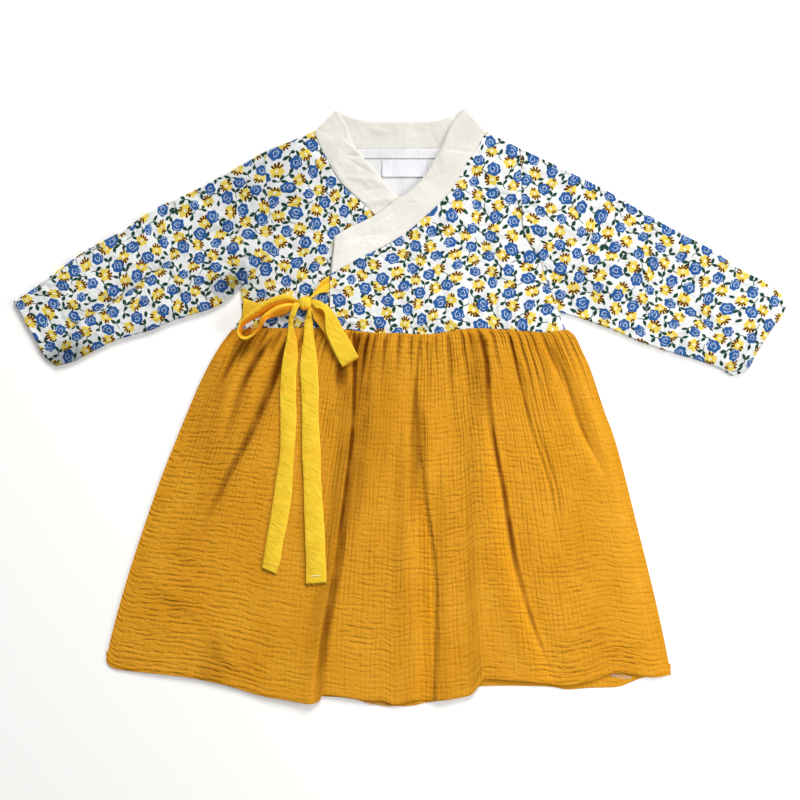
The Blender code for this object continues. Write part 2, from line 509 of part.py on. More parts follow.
def skirt_front_points():
    """Front of the skirt: a low dome, the waves of the gathers below the seam, and the long folds."""
    valleys = (np.array(GATHERS) - SKIRT_LEFT[0][0]) / (SKIRT_RIGHT[0][0] - SKIRT_LEFT[0][0])
    knots = np.concatenate([[0.0], valleys, [1.0]])
    quarter = np.arange(4)[None, :] / 4
    columns = (knots[:-1, None] + np.diff(knots)[:, None] * quarter).ravel()
    columns = np.append(columns, 1.0)
    rows = np.array([0, 0.016, 0.045, 0.085, 0.14, 0.21, 0.31, 0.44, 0.6, 0.8, 1.0])
    u, v = np.meshgrid(columns, rows)
    waist = smooth_curve(WAIST, 6)
    x, y, width = skirt_flat(u, v, waist, HEM_FRONT)
    below = skirt_flat(u, 0 * v, waist, HEM_FRONT)[1] - y
    phase = np.interp(u, knots, np.arange(len(knots)))
    wrapped = ease((x - WRAP_EDGE + 8) / 12) * ease((WRAP_END - x) / WRAP_RISE)
    at_seam = UNDER_LEVEL + (OVER_LEVEL - UNDER_LEVEL) * wrapped
    resting = LOWEST_FRONT + GATHER_HEIGHT + SKIRT_DOME * np.sin(math.pi * np.clip(u, 0, 1)) ** 0.6
    z = resting + (at_seam - resting) * np.exp(-(below / WAIST_BLEND) ** 2)
    swell = 0.30 + 0.70 * ease(below / 14)
    even = 0.75 + 0.25 * np.sin(2.4 * phase) * np.cos(1.1 * phase)
    reach = GATHER_REACH * (0.8 + 0.35 * np.sin(1.7 * phase + 0.6))
    z -= GATHER_HEIGHT * even * swell * np.cos(2 * math.pi * phase) * np.exp(-(below / reach) ** 1.6)
    for u_top, u_hem, v_top, v_hem, height, left, right in FOLDS:
        apart = (u - (u_top + (u_hem - u_top) * v)) * width
        fade = ease((v - v_top + 0.04) / 0.12) * ease((v_hem - v) / 0.16)
        z += height * fade * np.exp(-(apart / np.where(apart < 0, left, right)) ** 2)
    edge = ease(np.minimum(u, 1 - u) * width / SIDE_EDGE)
    z = LOWEST_FRONT + (z - LOWEST_FRONT) * edge
    return np.dstack([x, y, np.maximum(z, LOWEST_FRONT)])


def skirt_back_points():
    columns, rows = np.linspace(0, 1, 33), np.array([0, 0.2, 0.5, 0.8, 1.0])
    hem_shares = np.sort(np.concatenate([columns, [0.585, 0.60, 0.615, 0.64, 0.66, 0.87, 0.89]]))
    u, v = np.meshgrid(hem_shares, rows)
    x, y, _ = skirt_flat(u, v, WAIST[::len(WAIST) - 1], HEM_BACK)
    return np.dstack([x, y, np.zeros_like(x)])


def laid_tape(name, table, below, material):
    """Tape that lies on other cloth, each row lifted over the highest point near it."""
    rows = smooth_curve(table, 2)
    shares = np.linspace(0, 1, 3)[None, :, None]
    flat = rows[:, None, :2] * (1 - shares) + rows[:, None, 2:4] * shares
    tops = top_under(flat.reshape(-1, 2), below).reshape(flat.shape[:2]).max(axis=1)
    padded = np.pad(tops, 1, mode="edge")
    tops = np.maximum(tops, (padded[:-2] + padded[2:]) / 2)
    heights = tops + TAPE / 2 + rows[:, 4]
    grid = with_heights(flat, heights[:, None])
    sheet(name, grid, TAPE, material)
    return grid


def free_tape(name, table, below, material, steps=1, across=3):
    """Tape through rows that each give both of its edges in full, over the highest cloth below any of it."""
    rows = smooth_curve(table, steps)
    shares = np.linspace(0, 1, across)[None, :, None]
    grid = rows[:, None, :3] * (1 - shares) + rows[:, None, 3:] * shares
    grid[..., 2] += top_under(grid.reshape(-1, 3), below).max() if below else 0
    sheet(name, grid, TAPE, material)
    return grid


def flat_patch(name, corners, z, material, columns, rows):
    top_left, top_right, low_left, low_right = np.array(corners)
    u, v = np.linspace(0, 1, columns)[None, :, None], np.linspace(0, 1, rows)[:, None, None]
    grid = (1 - v) * ((1 - u) * top_left + u * top_right) + v * ((1 - u) * low_left + u * low_right)
    sheet(name, with_heights(grid, z), TAPE, material)


def knot(material):
    """Small rounded cushion where the tapes are tied, from a cube cage with Subdivision Surface."""
    bpy.ops.mesh.primitive_cube_add(size=1, location=[c * MM for c in KNOT_CENTRE])
    piece = bpy.context.object
    piece.name = piece.data.name = "bow_knot"
    piece.data.transform(Matrix.Diagonal([s * MM * CAGE_OVER_ROUND for s in KNOT_SIZE] + [1]))
    piece.data.materials.append(material)
    subdivision = piece.modifiers.new("round", "SUBSURF")
    subdivision.levels = subdivision.render_levels = 2
    piece.data.shade_smooth()
    for collection in piece.users_collection:
        collection.objects.unlink(piece)
    dress.objects.link(piece)


for old in list(bpy.data.objects):
    bpy.data.objects.remove(old, do_unlink=True)
dress = bpy.data.collections.new("hanfu_ruqun")
bpy.context.scene.collection.children.link(dress)

lawn = cloth_material("printed lawn", 0.60, 0.64, 0.66)
linen = cloth_material("off-white linen", 0.86, 0.84, 0.78)
gauze = cloth_material("mustard double gauze", 0.76, 0.37, 0.025)
tape = cloth_material("yellow cotton tape", 0.93, 0.60, 0.035)
white = cloth_material("white cotton", 0.83, 0.83, 0.84)

sheet("collar", collar_points(), LINEN, linen)
over_front = front_points((ARMHOLE_RIGHT, SIDE_RIGHT), COLLAR_OVER[::-1], WRAP_EDGE, 13, over_wrap)
under_front = front_points((ARMHOLE_LEFT, SIDE_LEFT), COLLAR_UNDER, UNDER_EDGE, 11, over_back)
sheet("bodice_front_over", over_front, LAWN, lawn)
sheet("bodice_front_under", under_front, LAWN, lawn)
sheet("bodice_back", back_points(), LAWN, lawn, offset=1)
left_rings = sleeve_points(SLEEVE_LEFT_TOP, SLEEVE_LEFT_BOTTOM, ARMHOLE_LEFT, CUFF_LEFT, (-1.2, 0.3))
right_rings = sleeve_points(SLEEVE_RIGHT_TOP, SLEEVE_RIGHT_BOTTOM, ARMHOLE_RIGHT, CUFF_RIGHT, (1.4, 0.5))
sheet("sleeve_left", left_rings, LAWN, lawn, offset=-1, ring=True)
sheet("sleeve_right", right_rings[:, ::-1], LAWN, lawn, offset=-1, ring=True)

skirt_front = skirt_front_points()
sheet("skirt_front", skirt_front, GAUZE, gauze)
sheet("skirt_back", skirt_back_points(), GAUZE, gauze, offset=1)

u_lining, v_lining = np.linspace(0, 1, 7), np.linspace(0, 1, len(LINING_LEFT))
lining = coons(np.linspace(LINING_LEFT[0], LINING_RIGHT[0], 7), np.linspace(LINING_LEFT[-1], LINING_RIGHT[-1], 7),
               np.array(LINING_LEFT), np.array(LINING_RIGHT), u_lining, v_lining)
sheet("back_lining", with_heights(lining, LINING_HEIGHT), TAPE, white)
flat_patch("neck_tape", NECK_TAPE, LABEL_HEIGHT, white, 9, 2)
flat_patch("neck_label", LABEL, LABEL_HEIGHT, white, 5, 3)

fronts = [under_front, over_front, skirt_front]
side_lead = laid_tape("tie_side_lead", TIE_SIDE_LEAD, [under_front], tape)
laid_tape("tie_tail_left", TIE_TAIL_LEFT, [under_front, skirt_front], tape)
laid_tape("tie_tail_right", TIE_TAIL_RIGHT, [under_front, skirt_front], tape)
free_tape("tie_front_lead", TIE_FRONT_LEAD, [], tape)
free_tape("bow_loop_left", LOOP_LEFT, [under_front, skirt_front, side_lead], tape, steps=2, across=4)
free_tape("bow_loop_right", LOOP_RIGHT, fronts, tape, steps=2, across=4)
knot(tape)
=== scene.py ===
"""Looks of a child's one-piece ruqun laid flat: printed lawn bodice, linen collar, mustard double-gauze
skirt.

The frame is in metres, with the back of the dress on z = 0, the front facing +Z and the collar towards +Y.
Tables are in millimetres. Each cloth is a thin sheet on the form of its solid, with the creases and crinkle
that show.
"""
import functools
import math

import bpy
import numpy as np
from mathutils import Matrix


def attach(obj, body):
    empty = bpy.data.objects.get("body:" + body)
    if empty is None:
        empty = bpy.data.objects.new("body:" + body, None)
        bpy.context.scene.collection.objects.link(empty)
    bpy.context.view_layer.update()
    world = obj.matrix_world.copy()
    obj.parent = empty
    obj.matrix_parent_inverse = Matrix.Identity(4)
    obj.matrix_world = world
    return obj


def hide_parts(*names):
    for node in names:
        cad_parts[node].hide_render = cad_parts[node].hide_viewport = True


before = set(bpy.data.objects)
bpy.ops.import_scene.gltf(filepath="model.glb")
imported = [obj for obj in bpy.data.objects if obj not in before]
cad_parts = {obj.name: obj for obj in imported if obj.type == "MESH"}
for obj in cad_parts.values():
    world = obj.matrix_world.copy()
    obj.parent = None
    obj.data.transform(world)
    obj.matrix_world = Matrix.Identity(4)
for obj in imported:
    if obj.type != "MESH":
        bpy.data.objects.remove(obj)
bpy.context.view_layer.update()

MM = 0.001
SEAM = 0.14           # between two cloths that are sewn together
BACK_LEVEL = 0.7      # the back of the dress
LOWEST_FRONT = 1.9    # a front where it touches the back
UNDER_LEVEL = 3.3     # the under front, just over the back
OVER_LEVEL = 5.6      # the over front, where the under front and its collar lie below it
OVER_BESIDE = 3.5     # the over front beyond the hidden edge of the under front
WRAP_END = 72.0       # x from which the over front rises towards OVER_LEVEL, over WRAP_RISE
WRAP_RISE = 24.0
ARMHOLE_LEVEL = 3.3   # a front along its armhole seam
NECK_BLEND = 16.0     # how far a front takes on the height of the collar it is sewn to
SIDE_BLEND = 14.0     # how far it comes down to its side seam and armhole
SHOULDER_RISE = 3 / 16    # share of its length over which it comes down to the shoulder
SEAM_GROOVE = 0.2     # how deep the cloth dips along a seam
SEAM_REACH = 1.6      # and how far beside it
LAPPED = 1.2          # how far a front runs in under the collar
LINEN = 1.3           # collar band, two layers pressed together
TAPE = 0.7            # ties
COLLAR_FOLD = 1.9     # between the middles of the two layers at a shoulder fold
HEM_TURN = 10.0       # cloth turned under at the hem of the skirt
CUFF_TURN = 30.0      # cloth turned in at a cuff
SKIRT_CUT = (590.0, 346.0)    # flat cut of each skirt panel below the seam, gathered to half its width
SKIRT_ROWS = 222      # rows of points down the skirt front
OVER_LEAST = 5.2      # least height of the over front where the under front lies below it
OVER_LEAST_RISE = 14.0    # and over how far beside it this fades
UNDER_MOST = 4.1      # most height of the under front
TAPE_WIDTH = 20.0     # woven width of the ties
TAPE_COLUMNS = 15     # points across a tie
TAPE_SPANS = 10       # spans along a tie between each two rows of its table
CELL = 2.0            # cells of the height map that the ties rest on, and how many there are across and down
CELLS = np.array([400, 320])
# Painted shade turns the collar greyer from this y towards its back, over this far.
COLLAR_PAINTED_SHADE = (150.0, 85.0)   # y from which the collar turns greyer towards its back, and over how far

# Where on its cloth each piece is cut, in millimetres, which decides the motifs and the threads that it
# shows.
CUT_AT = {"over": (400, 90), "under": (-300, 40), "back": (100, 700), "collar": (0, 260)}

# Collar band, from the free end of its over stretch to the hidden end of its under stretch. The inner edge
# is the free one, and the outer edge is sewn to the bodice. z is the middle of the band.
COLLAR_OVER = [
    # inner x, inner y, outer x, outer y, z
    (-63.7, 162.2, -67.5, 126, 5.7),
    (-48.5, 170.9, -46.6, 137.3, 5.7),
    (-33.3, 178.1, -28.5, 146.5, 5.7),
    (-18.1, 186.7, -9.5, 156.5, 5.7),
    (-4.8, 197.1, 7.6, 167.7, 5.7),
    (6.5, 203.8, 21.9, 180, 5.7),
    (16.2, 212.8, 34.2, 191.4, 5.5),
    (23.8, 222.3, 44.7, 202.4, 5.1),
    (30.4, 232.8, 54.2, 215.7, 5),
    (36.1, 242.7, 62.7, 232.3, 4.5),
    (40.9, 253.2, 71.7, 244.6, 3.6),
    (46.6, 266.5, 77.9, 256.5, 3),
    (60, 284.3, 82.1, 261.4, 2.7),
]
COLLAR_BACK = [
    (60, 284.3, 82.1, 261.4, 0.8),
    (48.5, 277.9, 61.8, 251.3, 0.8),
    (32.3, 273.1, 39, 245.6, 0.8),
    (18.1, 272.2, 19, 244.9, 0.8),
    (-1, 272.2, -1, 244.6, 0.8),
    (-20, 272.2, -20.9, 244.9, 0.8),
    (-34.2, 273.1, -39, 245.6, 0.8),
    (-50.4, 277.4, -61.8, 251.3, 0.8),
    (-61.3, 283, -82.6, 262.2, 0.8),
]
COLLAR_UNDER = [
    (-61.3, 283, -82.6, 262.2, 2.7),
    (-52.7, 269.3, -79.5, 253.7, 2.8),
    (-48.5, 256, -74.6, 243.2, 3.1),
    (-42.3, 246.1, -68.9, 232.3, 3.7),
    (-35.6, 237, -62.2, 220.9, 3.7),
    (-28, 229, -54.6, 210.9, 3.7),
    (-19.5, 218.5, -46.1, 202.8, 3.7),
    (-9.5, 206.6, -35.2, 192.9, 3.7),
    (1, 198.1, -22.8, 180.7, 3.7),
    (11.4, 191, -9.5, 169.1, 3.7),
    (22.8, 183.4, 3.8, 159.1, 3.7),
    (34.2, 177.7, 18.1, 150.6, 3.7),
    (45, 173, 33.3, 143.5, 3.7),
]

COLLAR_CREASES = [
    # stretch of the band, x and y of both ends, height, half width
    ("over", -24.7, 168.6, 20.9, 208.5, 0.5, 3.5), ("over", -12.8, 179.3, 17.1, 209.2, -0.45, 1.4),
    ("over", -22, 175.8, 0.7, 189.7, -0.4, 1.6), ("over", -58, 148, -34, 160, 0.4, 4),
    ("over", -46, 160, -20, 166, -0.35, 2.2), ("over", 43, 244.9, 68, 242.6, -0.6, 1.4),
    ("over", 29.8, 232, 59.7, 246, 0.45, 2.6), ("over", 22, 214, 44, 224, -0.4, 1.8),
    ("back", -2, 262, 16, 265, -0.7, 2.2), ("back", 6, 256, 24, 259, 0.5, 2.4),
    ("back", -32, 258, -8, 254, -0.5, 2.4), ("back", -30, 266, -14, 262, 0.45, 2.6),
    ("back", 26, 268, 34, 250, -0.5, 1.6), ("back", 0, 270, 2, 246, -0.35, 0.9),
    ("under", -52, 239.4, -35.8, 239.2, -0.8, 1.2), ("under", -56, 253, -40, 243, 0.5, 2.4),
    ("under", -53, 236.9, -28.9, 223, -0.5, 1.6), ("under", -54, 219, -24, 216.5, 0.55, 2.4),
    ("under", -42.7, 204.6, -12, 209.2, -0.5, 2), ("under", -34.6, 194.3, -5.9, 200, 0.5, 2.4),
    ("under", -28, 189, -8, 193, -0.45, 1.6),
]

# Armhole seams from the shoulder to the underarm, then the side seams down to the waist.
ARMHOLE_LEFT = [(-130.2, 242.7), (-128.8, 225), (-127, 204), (-124, 184), (-121.9, 166.7), (-121.9, 153.4),
                (-131.1, 140.1), (-142, 127), (-152.6, 114.5)]
SIDE_LEFT = [(-152.6, 114.5), (-151.8, 100), (-152, 87), (-159.6, 74.6)]
ARMHOLE_RIGHT = [(113.1, 246.5), (114, 220), (114.8, 195), (116.6, 169.6), (123, 155), (131.1, 142),
                 (137.2, 124.9), (144.4, 105.9), (150.5, 90.7)]
SIDE_RIGHT = [(150.5, 90.7), (152, 85), (154, 80), (156.8, 74.1)]
WRAP_EDGE = -67.5     # free edge of the over front
UNDER_EDGE = 36     # hidden free edge of the under front, at the waist

# Waist seam of the front, from the left side seam to the right one.
WAIST = [(-159.6, 74.6), (-124.5, 75.5), (-96, 75.5), (-53.2, 73.9), (-22.8, 70.8), (-1, 70.8), (25.2, 69.6),
         (55.7, 74.1), (71, 75.5), (88.8, 74.8), (123.1, 72.4), (142.2, 71.7), (156.8, 74.1)]

# Sleeve outlines, from the armhole to the cuff, and the cuffs from their upper to their lower corner.
SLEEVE_LEFT_TOP = [(-130.2, 242.7), (-160.6, 225.6), (-195.7, 206.6), (-236.6, 187.6), (-264.1, 168.6),
                   (-299.3, 149.6), (-325.9, 130.6), (-351.5, 111.6), (-368.4, 101)]
SLEEVE_LEFT_BOTTOM = [(-152.6, 114.5), (-165.3, 102.1), (-184.3, 92.6), (-214.7, 83.1), (-237.5, 73.6),
                      (-257.5, 67.9), (-278.4, 60.7), (-310.7, 43.8), (-327.4, 39.4)]
CUFF_LEFT = [(-368.4, 101), (-356.6, 80.3), (-348.7, 67.5), (-340, 50), (-327.4, 39.4)]
SLEEVE_RIGHT_TOP = [(113.1, 246.5), (156.8, 225.6), (194.8, 206.6), (227.1, 187.6), (260.3, 168.6),
                    (296.4, 149.6), (324, 130.6), (343, 121.1), (368.4, 103)]
SLEEVE_RIGHT_BOTTOM = [(150.5, 90.7), (175.8, 83.1), (201.4, 73.6), (223.3, 64.1), (248.9, 54.6), (265, 49.9),
                       (278.4, 46.1), (299.8, 38.5), (316, 29.6)]
CUFF_RIGHT = [(368.4, 103), (362.6, 88.8), (351.5, 73.6), (338, 52.1), (329.7, 36.6), (316, 29.6)]
SLEEVE_LOFT = [
    # share of the sleeve's length, height of its upper face
    (0.00, 3.8), (0.10, 4.8), (0.25, 5.7), (0.50, 5.8), (0.75, 5.4), (0.92, 5), (1.00, 4.8),
]
SLEEVE_CREASES = [
    # x and y of three points of the crease, depth, half width, height and distance of the swell above it,
    # and how much cloth is tucked into it, which squeezes the print there
    (-330, 66, -262, 108, -199, 155, 1.6, 6, 1.2, 15, 7),
    (-196, 158, -170, 166, -138, 160, 0.9, 5, 0.6, 11, 0),
    (-330, 101, -300, 118, -262, 138, 0.6, 5, 0.4, 10, 0),
    (-150, 128, -176, 138, -214, 130, 0.9, 6, 0.6, 12, 2),
    (-244, 168, -214, 182, -182, 190, 0.5, 5, 0.4, 9, 0),
    (128, 152, 152, 160, 190, 152, 1, 6, 0.7, 12, 2),
    (146, 116, 172, 128, 214, 122, 1, 6, 0.7, 12, 0),
    (200, 170, 244, 150, 292, 112, 0.7, 8, 0.5, 14, 0),
    (232, 96, 270, 92, 306, 66, 0.8, 7, 0.5, 12, 3),
    (286, 132, 306, 122, 330, 110, 0.5, 5, 0.4, 9, 0),
]
# Painted shade on the lawn, in its folds and creases and where less light reaches it.
LAWN_SHADES = [
    # x, y, half length, half width, the way its long side turns in degrees, tone
    (-140, 212, 62, 56, 0, 0.32),
    (-158, 119, 18, 11, 30, 0.85),
    (-180, 122, 34, 22, 0, 0.20),
    (-246, 68, 92, 8, 21, 0.60),
    (-322, 48, 26, 14, 24, 0.95),
    (-257, 112, 62, 4, 34, 0.24),
    (-98, 84, 26, 11, 4, 0.40),
    (-83, 103, 5, 5, 0, 0.60),
    (-133, 231, 9, 2.6, 44, 0.22),
    (-151, 133, 14, 3, 70, 0.25),
    (-92, 142, 26, 16, 60, 0.10),
    (180, 112, 28, 18, -24, 0.12),
    (300, 41, 60, 7, -19, 0.36),
    (334, 40, 16, 9, -20, 0.40),
    (282, 88, 30, 4, 55, 0.12),
    (330, 62, 20, 3, 62, 0.14),
    (310, 100, 130, 64, -32, 0.15),
    (0, 76, 170, 3.5, 0, 0.14),
]
CUFF_SEAM_DEPTH = 0.7     # groove where the turned-in cloth of a cuff is sewn down

# Skirt outline. The side tables give x for a height y, and run a little past the hem.
SKIRT_LEFT = [(-160.5, 74.6), (-174.8, 54.6), (-190, 26.1), (-203, -4), (-226.1, -61.3), (-242.3, -106.9),
              (-259.4, -159.1), (-273.6, -209.5), (-280.5, -240.8), (-287.5, -286)]
SKIRT_RIGHT = [(158.7, 74.1), (165.8, 67.5), (172, 54.6), (180.5, 35.6), (193.8, -4.3), (202.4, -27.1),
               (211.9, -61.3), (226.1, -118.3), (237.5, -163.9), (248, -209.5), (256.8, -253.7), (262, -286)]
HEM_FRONT = [(-280.5, -240.8), (-276.5, -246.1), (-264.1, -249.4), (-228, -253.2), (-203.3, -256),
             (-178.6, -260.8), (-159.6, -265.5), (-134, -273.1), (-109.3, -277.4), (-87.4, -281),
             (-78, -278.8), (-74.8, -273.1), (-61.8, -273.8), (-34.7, -277.9), (-17.4, -278.4),
             (-5.9, -282.2), (11.4, -278.4), (38, -277.9), (60.8, -274.4), (67.8, -271.5), (74.7, -263.4),
             (79.8, -257.9), (105.5, -259.4), (135.9, -261.7), (157.4, -263.8), (180.5, -259.3),
             (198.6, -253.2), (212.8, -251.9), (232.8, -255.6), (244.7, -256), (256.8, -253.7)]
HEM_BACK = [(-280.5, -240.8), (-228, -251.3), (-159.6, -263.6), (-109.3, -274.1), (-75, -275),
            (-48.5, -276.9), (-29.5, -281.7), (-12.7, -284.1), (9.1, -284.1), (21.9, -281.3), (38, -278.8),
            (60.8, -273.1), (75, -265.5), (135.9, -265.5), (157.7, -268.4), (178, -267), (206, -265.9),
            (218, -261.7), (231.3, -257), (256.8, -252)]

# Gathers along the front waist seam, one x for each valley.
GATHERS = [-148, -137, -126.3, -113, -102, -90, -78.9, -72.2, -67.5, -58, -48.5, -39, -30.8, -24.7, -14.7,
           -2.2, 9.3, 16.9, 23, 30.4, 41.8, 55.7, 61.8, 72, 83.6, 91.2, 97.9, 107.4, 113.1, 118.5, 129.2,
           137.8, 145, 151.5]
VALLEYS = np.array([SKIRT_LEFT[0][0], *GATHERS, SKIRT_RIGHT[0][0]])     # with the side seams
GATHER_HEIGHT = 2.3   # from a gather's valley to its ridge just below the seam
GATHER_REACH = 38   # how far down the gathers have faded to a third
WAIST_BLEND = 26    # how far the skirt takes on the height of the bodice it is sewn to
SIDE_EDGE = 16      # width over which it comes down to a side seam
SKIRT_DOME = 1.3      # how far the front rises over the back between the side seams

# Long folds of the skirt. Each follows a line down the cloth, given by its x at these heights.
FOLD_LEVELS = [75, 30, -20, -80, -150, -220, -290]
FOLDS = [
    # x at each level, height, reach to the left and to the right, y where it starts and where it ends
    ((-47.5, -47.6, -49.5, -56.6, -67, -79.2, -87.2), 3, 30, 3, 74, -400),
    ((-37, -37.2, -39, -45.6, -56, -68, -76), -1.5, 8, 9, 74, -150),
    ((15.5, 15.2, 14.6, 14.4, 19, 21, 20), -2, 6, 6, 20, -330),
    ((26, 24, 25, 26, 35.4, 37.4, 35), 2.2, 3.4, 14, 10, -400),
    ((71, 74.5, 79, 90.3, 102.5, 123.7, 157), 2.8, 17, 8, 70, -262),
    ((82.5, 85.6, 90, 101.3, 113.5, 134.7, 168), -1.4, 3, 11, 74, -262),
    ((103, 114.5, 123.6, 143, 149, 152, 155), -1, 2.2, 2.2, 70, -120),
    ((108.7, 120.2, 129.3, 148.7, 154.5, 157.5, 160.5), -0.9, 2.2, 2.2, 66, -120),
    ((130, 152.7, 171, 201, 212, 222, 232), -1.7, 3, 8, 74, -80),
    ((122, 144.7, 162, 191, 203, 214, 225), 1, 12, 5, 66, -90),
    ((-156, -174.5, -194.5, -211, -220, -230, -240), -0.8, 3, 3, 60, -60),
    ((-146, -169, -186, -203, -214, -222, -232), -1.8, 5, 5, 72, -20),
    ((-117, -146.3, -163, -180, -194, -205, -215), -2.2, 6, 6, 72, -50),
    ((-132, -157, -175, -192, -204, -214, -224), 0.9, 9, 9, 66, -70),
    ((-104, -122.6, -143, -175.7, -205, -220, -235), -2.6, 7, 7, 74, -120),
    ((-110, -135, -154, -187, -212, -226, -240), 1, 8, 8, 60, -110),
    ((-90, -104, -124, -156, -188, -204, -220), 1.2, 8, 16, 60, -140),
    ((-88, -94, -100, -108, -116, -122, -128), 0.8, 14, 16, 30, -400),
    ((56, 55, 54, 56, 62, 66, 70), 0.9, 18, 18, 40, -400),
    ((170, 176, 184, 196, 210, 221, 232), 0.8, 14, 16, 40, -400),
]
# Lines that more than one of the tones below follow.
WRAP_FOLD = (-45, -45, -46.7, -53.6, -63.5, -76, -84)
MIDDLE_FOLD = (17, 15.5, 18.2, 23.5, 34, 33.8, 31)
RIGHT_FOLD = (80.5, 83.6, 87.8, 99.3, 111.5, 132.7, 166)
RIGHT_PLEAT = (102, 112, 124.6, 143, 149, 152, 155)
LEFT_FOLD = (-104, -119.5, -141, -172, -205, -220, -235)
# Painted shade in the skirt's folds where a tone is above 0, and painted light on flanks that a fold beside
# them would light where it is below 0.
SHADES = [
    # x at each level, half width and softness to the left, the same to the right, tone, y of its start and
    # how far below that it has its full width, y of its end and how far above that it starts to fade
    (WRAP_FOLD, 1.2, 2.4, 3.4, 3, 1.00, 75, 4, -170, 80),
    (WRAP_FOLD, 0.6, 2.2, 8, 6, 0.64, -5, 60, -310, 90),
    (WRAP_FOLD, 0, 2, 17, 9, 0.42, 74, 4, -150, 90),
    (WRAP_FOLD, 13, 10, 0, 2, 0.30, 60, 20, -290, 120),
    ((-54,) * 7, 8, 5, 4, 4, 0.75, 46, 6, 8, 24),
    ((-178,) * 7, 12, 14, 12, 14, 0.22, -215, 20, -300, 50),
    ((17.3, 15.5, 14, 13, 13, 13, 13), 1, 1.6, 1, 1.6, 0.58, 72, 30, 4, 14),
    ((30.5, 28, 26, 26, 26, 26, 26), 0.8, 1.4, 0.8, 1.4, 0.44, 70, 10, 0, 40),
    ((14.6, 14.4, 14.2, 14, 16, 17, 17), 6, 5, 5, 3.4, 0.62, 36, 90, -170, 190),
    (MIDDLE_FOLD, 3.4, 3.4, 0.2, 1, 0.52, 8, 30, -420, 30),
    (MIDDLE_FOLD, 13, 14, -1.5, 3, -0.62, -50, 80, -400, 60),
    (RIGHT_FOLD, 4.6, 6.5, 1.4, 3.4, 0.94, 70, 12, -235, 110),
    (RIGHT_FOLD, 3.6, 6, 0.6, 3, 0.66, -100, 60, -280, 90),
    (RIGHT_FOLD, 18, 24, -5, 4, -0.56, 0, 130, -330, 60),
    ((79, 82, 86, 96, 104, 120, 150), 17, 10, 0.6, 1.5, 0.36, 74, 6, -34, 60),
    (RIGHT_PLEAT, 1.5, 2, 1.3, 1.6, 0.66, 72, 10, -50, 60),
    (RIGHT_PLEAT, 0.8, 1.3, 0.8, 1.3, 0.40, 0, 10, -135, 60),
    ((107.7, 117.7, 130, 148.7, 154.5, 157.5, 160.5), 0.8, 1.3, 0.8, 1.3, 0.36, 50, 20, -135, 60),
    ((135, 156, 172, 200, 212, 222, 232), 1.1, 2, 2.2, 4, 0.50, 68, 30, -82, 70),
    ((143, 163, 179, 205, 216, 226, 236), 0.7, 1.4, 0.7, 1.4, 0.30, 66, 10, -50, 50),
    ((-156, -174.5, -194.5, -211, -220, -230, -240), 0.7, 1.5, 0.7, 1.5, 0.36, 58, 10, -50, 60),
    ((-151, -169.5, -189.5, -206, -215, -225, -235), 0.7, 1.5, 0.7, 1.5, 0.32, 58, 10, -40, 60),
    ((-141, -168, -193, -209, -219, -228, -238), 3, 6, 2.6, 5, 0.80, 76, 8, -6, 66),
    ((-117, -146, -164, -181, -194, -205, -215), 3.4, 7, 3.2, 5, 0.78, 72, 16, -60, 100),
    (LEFT_FOLD, 4.2, 8, 3.6, 5, 0.80, 74, 20, -140, 110),
    (LEFT_FOLD, 16, 14, 8, 12, 0.12, 60, 60, -160, 80),
    ((-16, -16.5, -17, -17, -17, -17, -17), 0.7, 1.4, 0.7, 1.4, 0.28, 70, 8, -40, 50),
    ((-52, -52, -53, -60, -70, -80, -90), 0.7, 1.4, 0.7, 1.4, 0.30, 60, 8, -60, 60),
    ((-58, -58.5, -60, -67, -77, -87, -97), 0.7, 1.4, 0.7, 1.4, 0.26, 60, 8, -40, 60),
    ((66, 66, 67, 67, 67, 69, 71), 5, 6, 5, 6, 0.16, 0, 60, -400, 60),
    ((-18, -18, -19, -20, -21, -22, -22), 16, 18, 12, 16, 0.17, 60, 30, -90, 70),
    ((-176, -178, -180, -190, -200, -205, -210), 22, 26, 14, 22, 0.16, 60, 60, -70, 70),
    ((40, 40, 39, 38, 39, 40, 41), 5, 6, 5, 6, 0.16, -50, 60, -400, 60),
    ((2, 2, 1, -1, -2, -2, -2), 6, 6, 5, 6, 0.16, -10, 60, -230, 80),
]
PLEATED = [
    # where fine upright lines cross the crinkle: x, y, half across, half down, share
    (-62, -30, 17, 120, 0.8), (-30, -60, 26, 140, 0.4), (30, 0, 15, 110, 0.45),
    (66, 0, 20, 130, 0.55), (128, -60, 22, 110, 0.6), (-178, -20, 32, 70, 0.6),
    (30, -170, 40, 110, 0.35), (-108, 30, 22, 60, 0.4),
]
DIMPLES = [
    # x, y, half length across, half length down, depth, the way its long side turns in degrees
    (-219, -192, 26, 7, 0.9, -32),
    (-171, -247, 15, 6, 0.7, -38),
    (-205, -150, 22, 7, 0.6, -25),
    (214, -234, 20, 6, 0.9, 28),
    (178, -226, 26, 6, 0.7, 20),
    (163, -160, 24, 8, 0.6, 12),
    (72, -252, 8, 18, 1, 28),
    (148, -246, 10, 22, 0.9, 22),
    (-30, -150, 30, 12, 0.5, 4),
    (-40, -218, 28, 9, 0.5, -8),
]

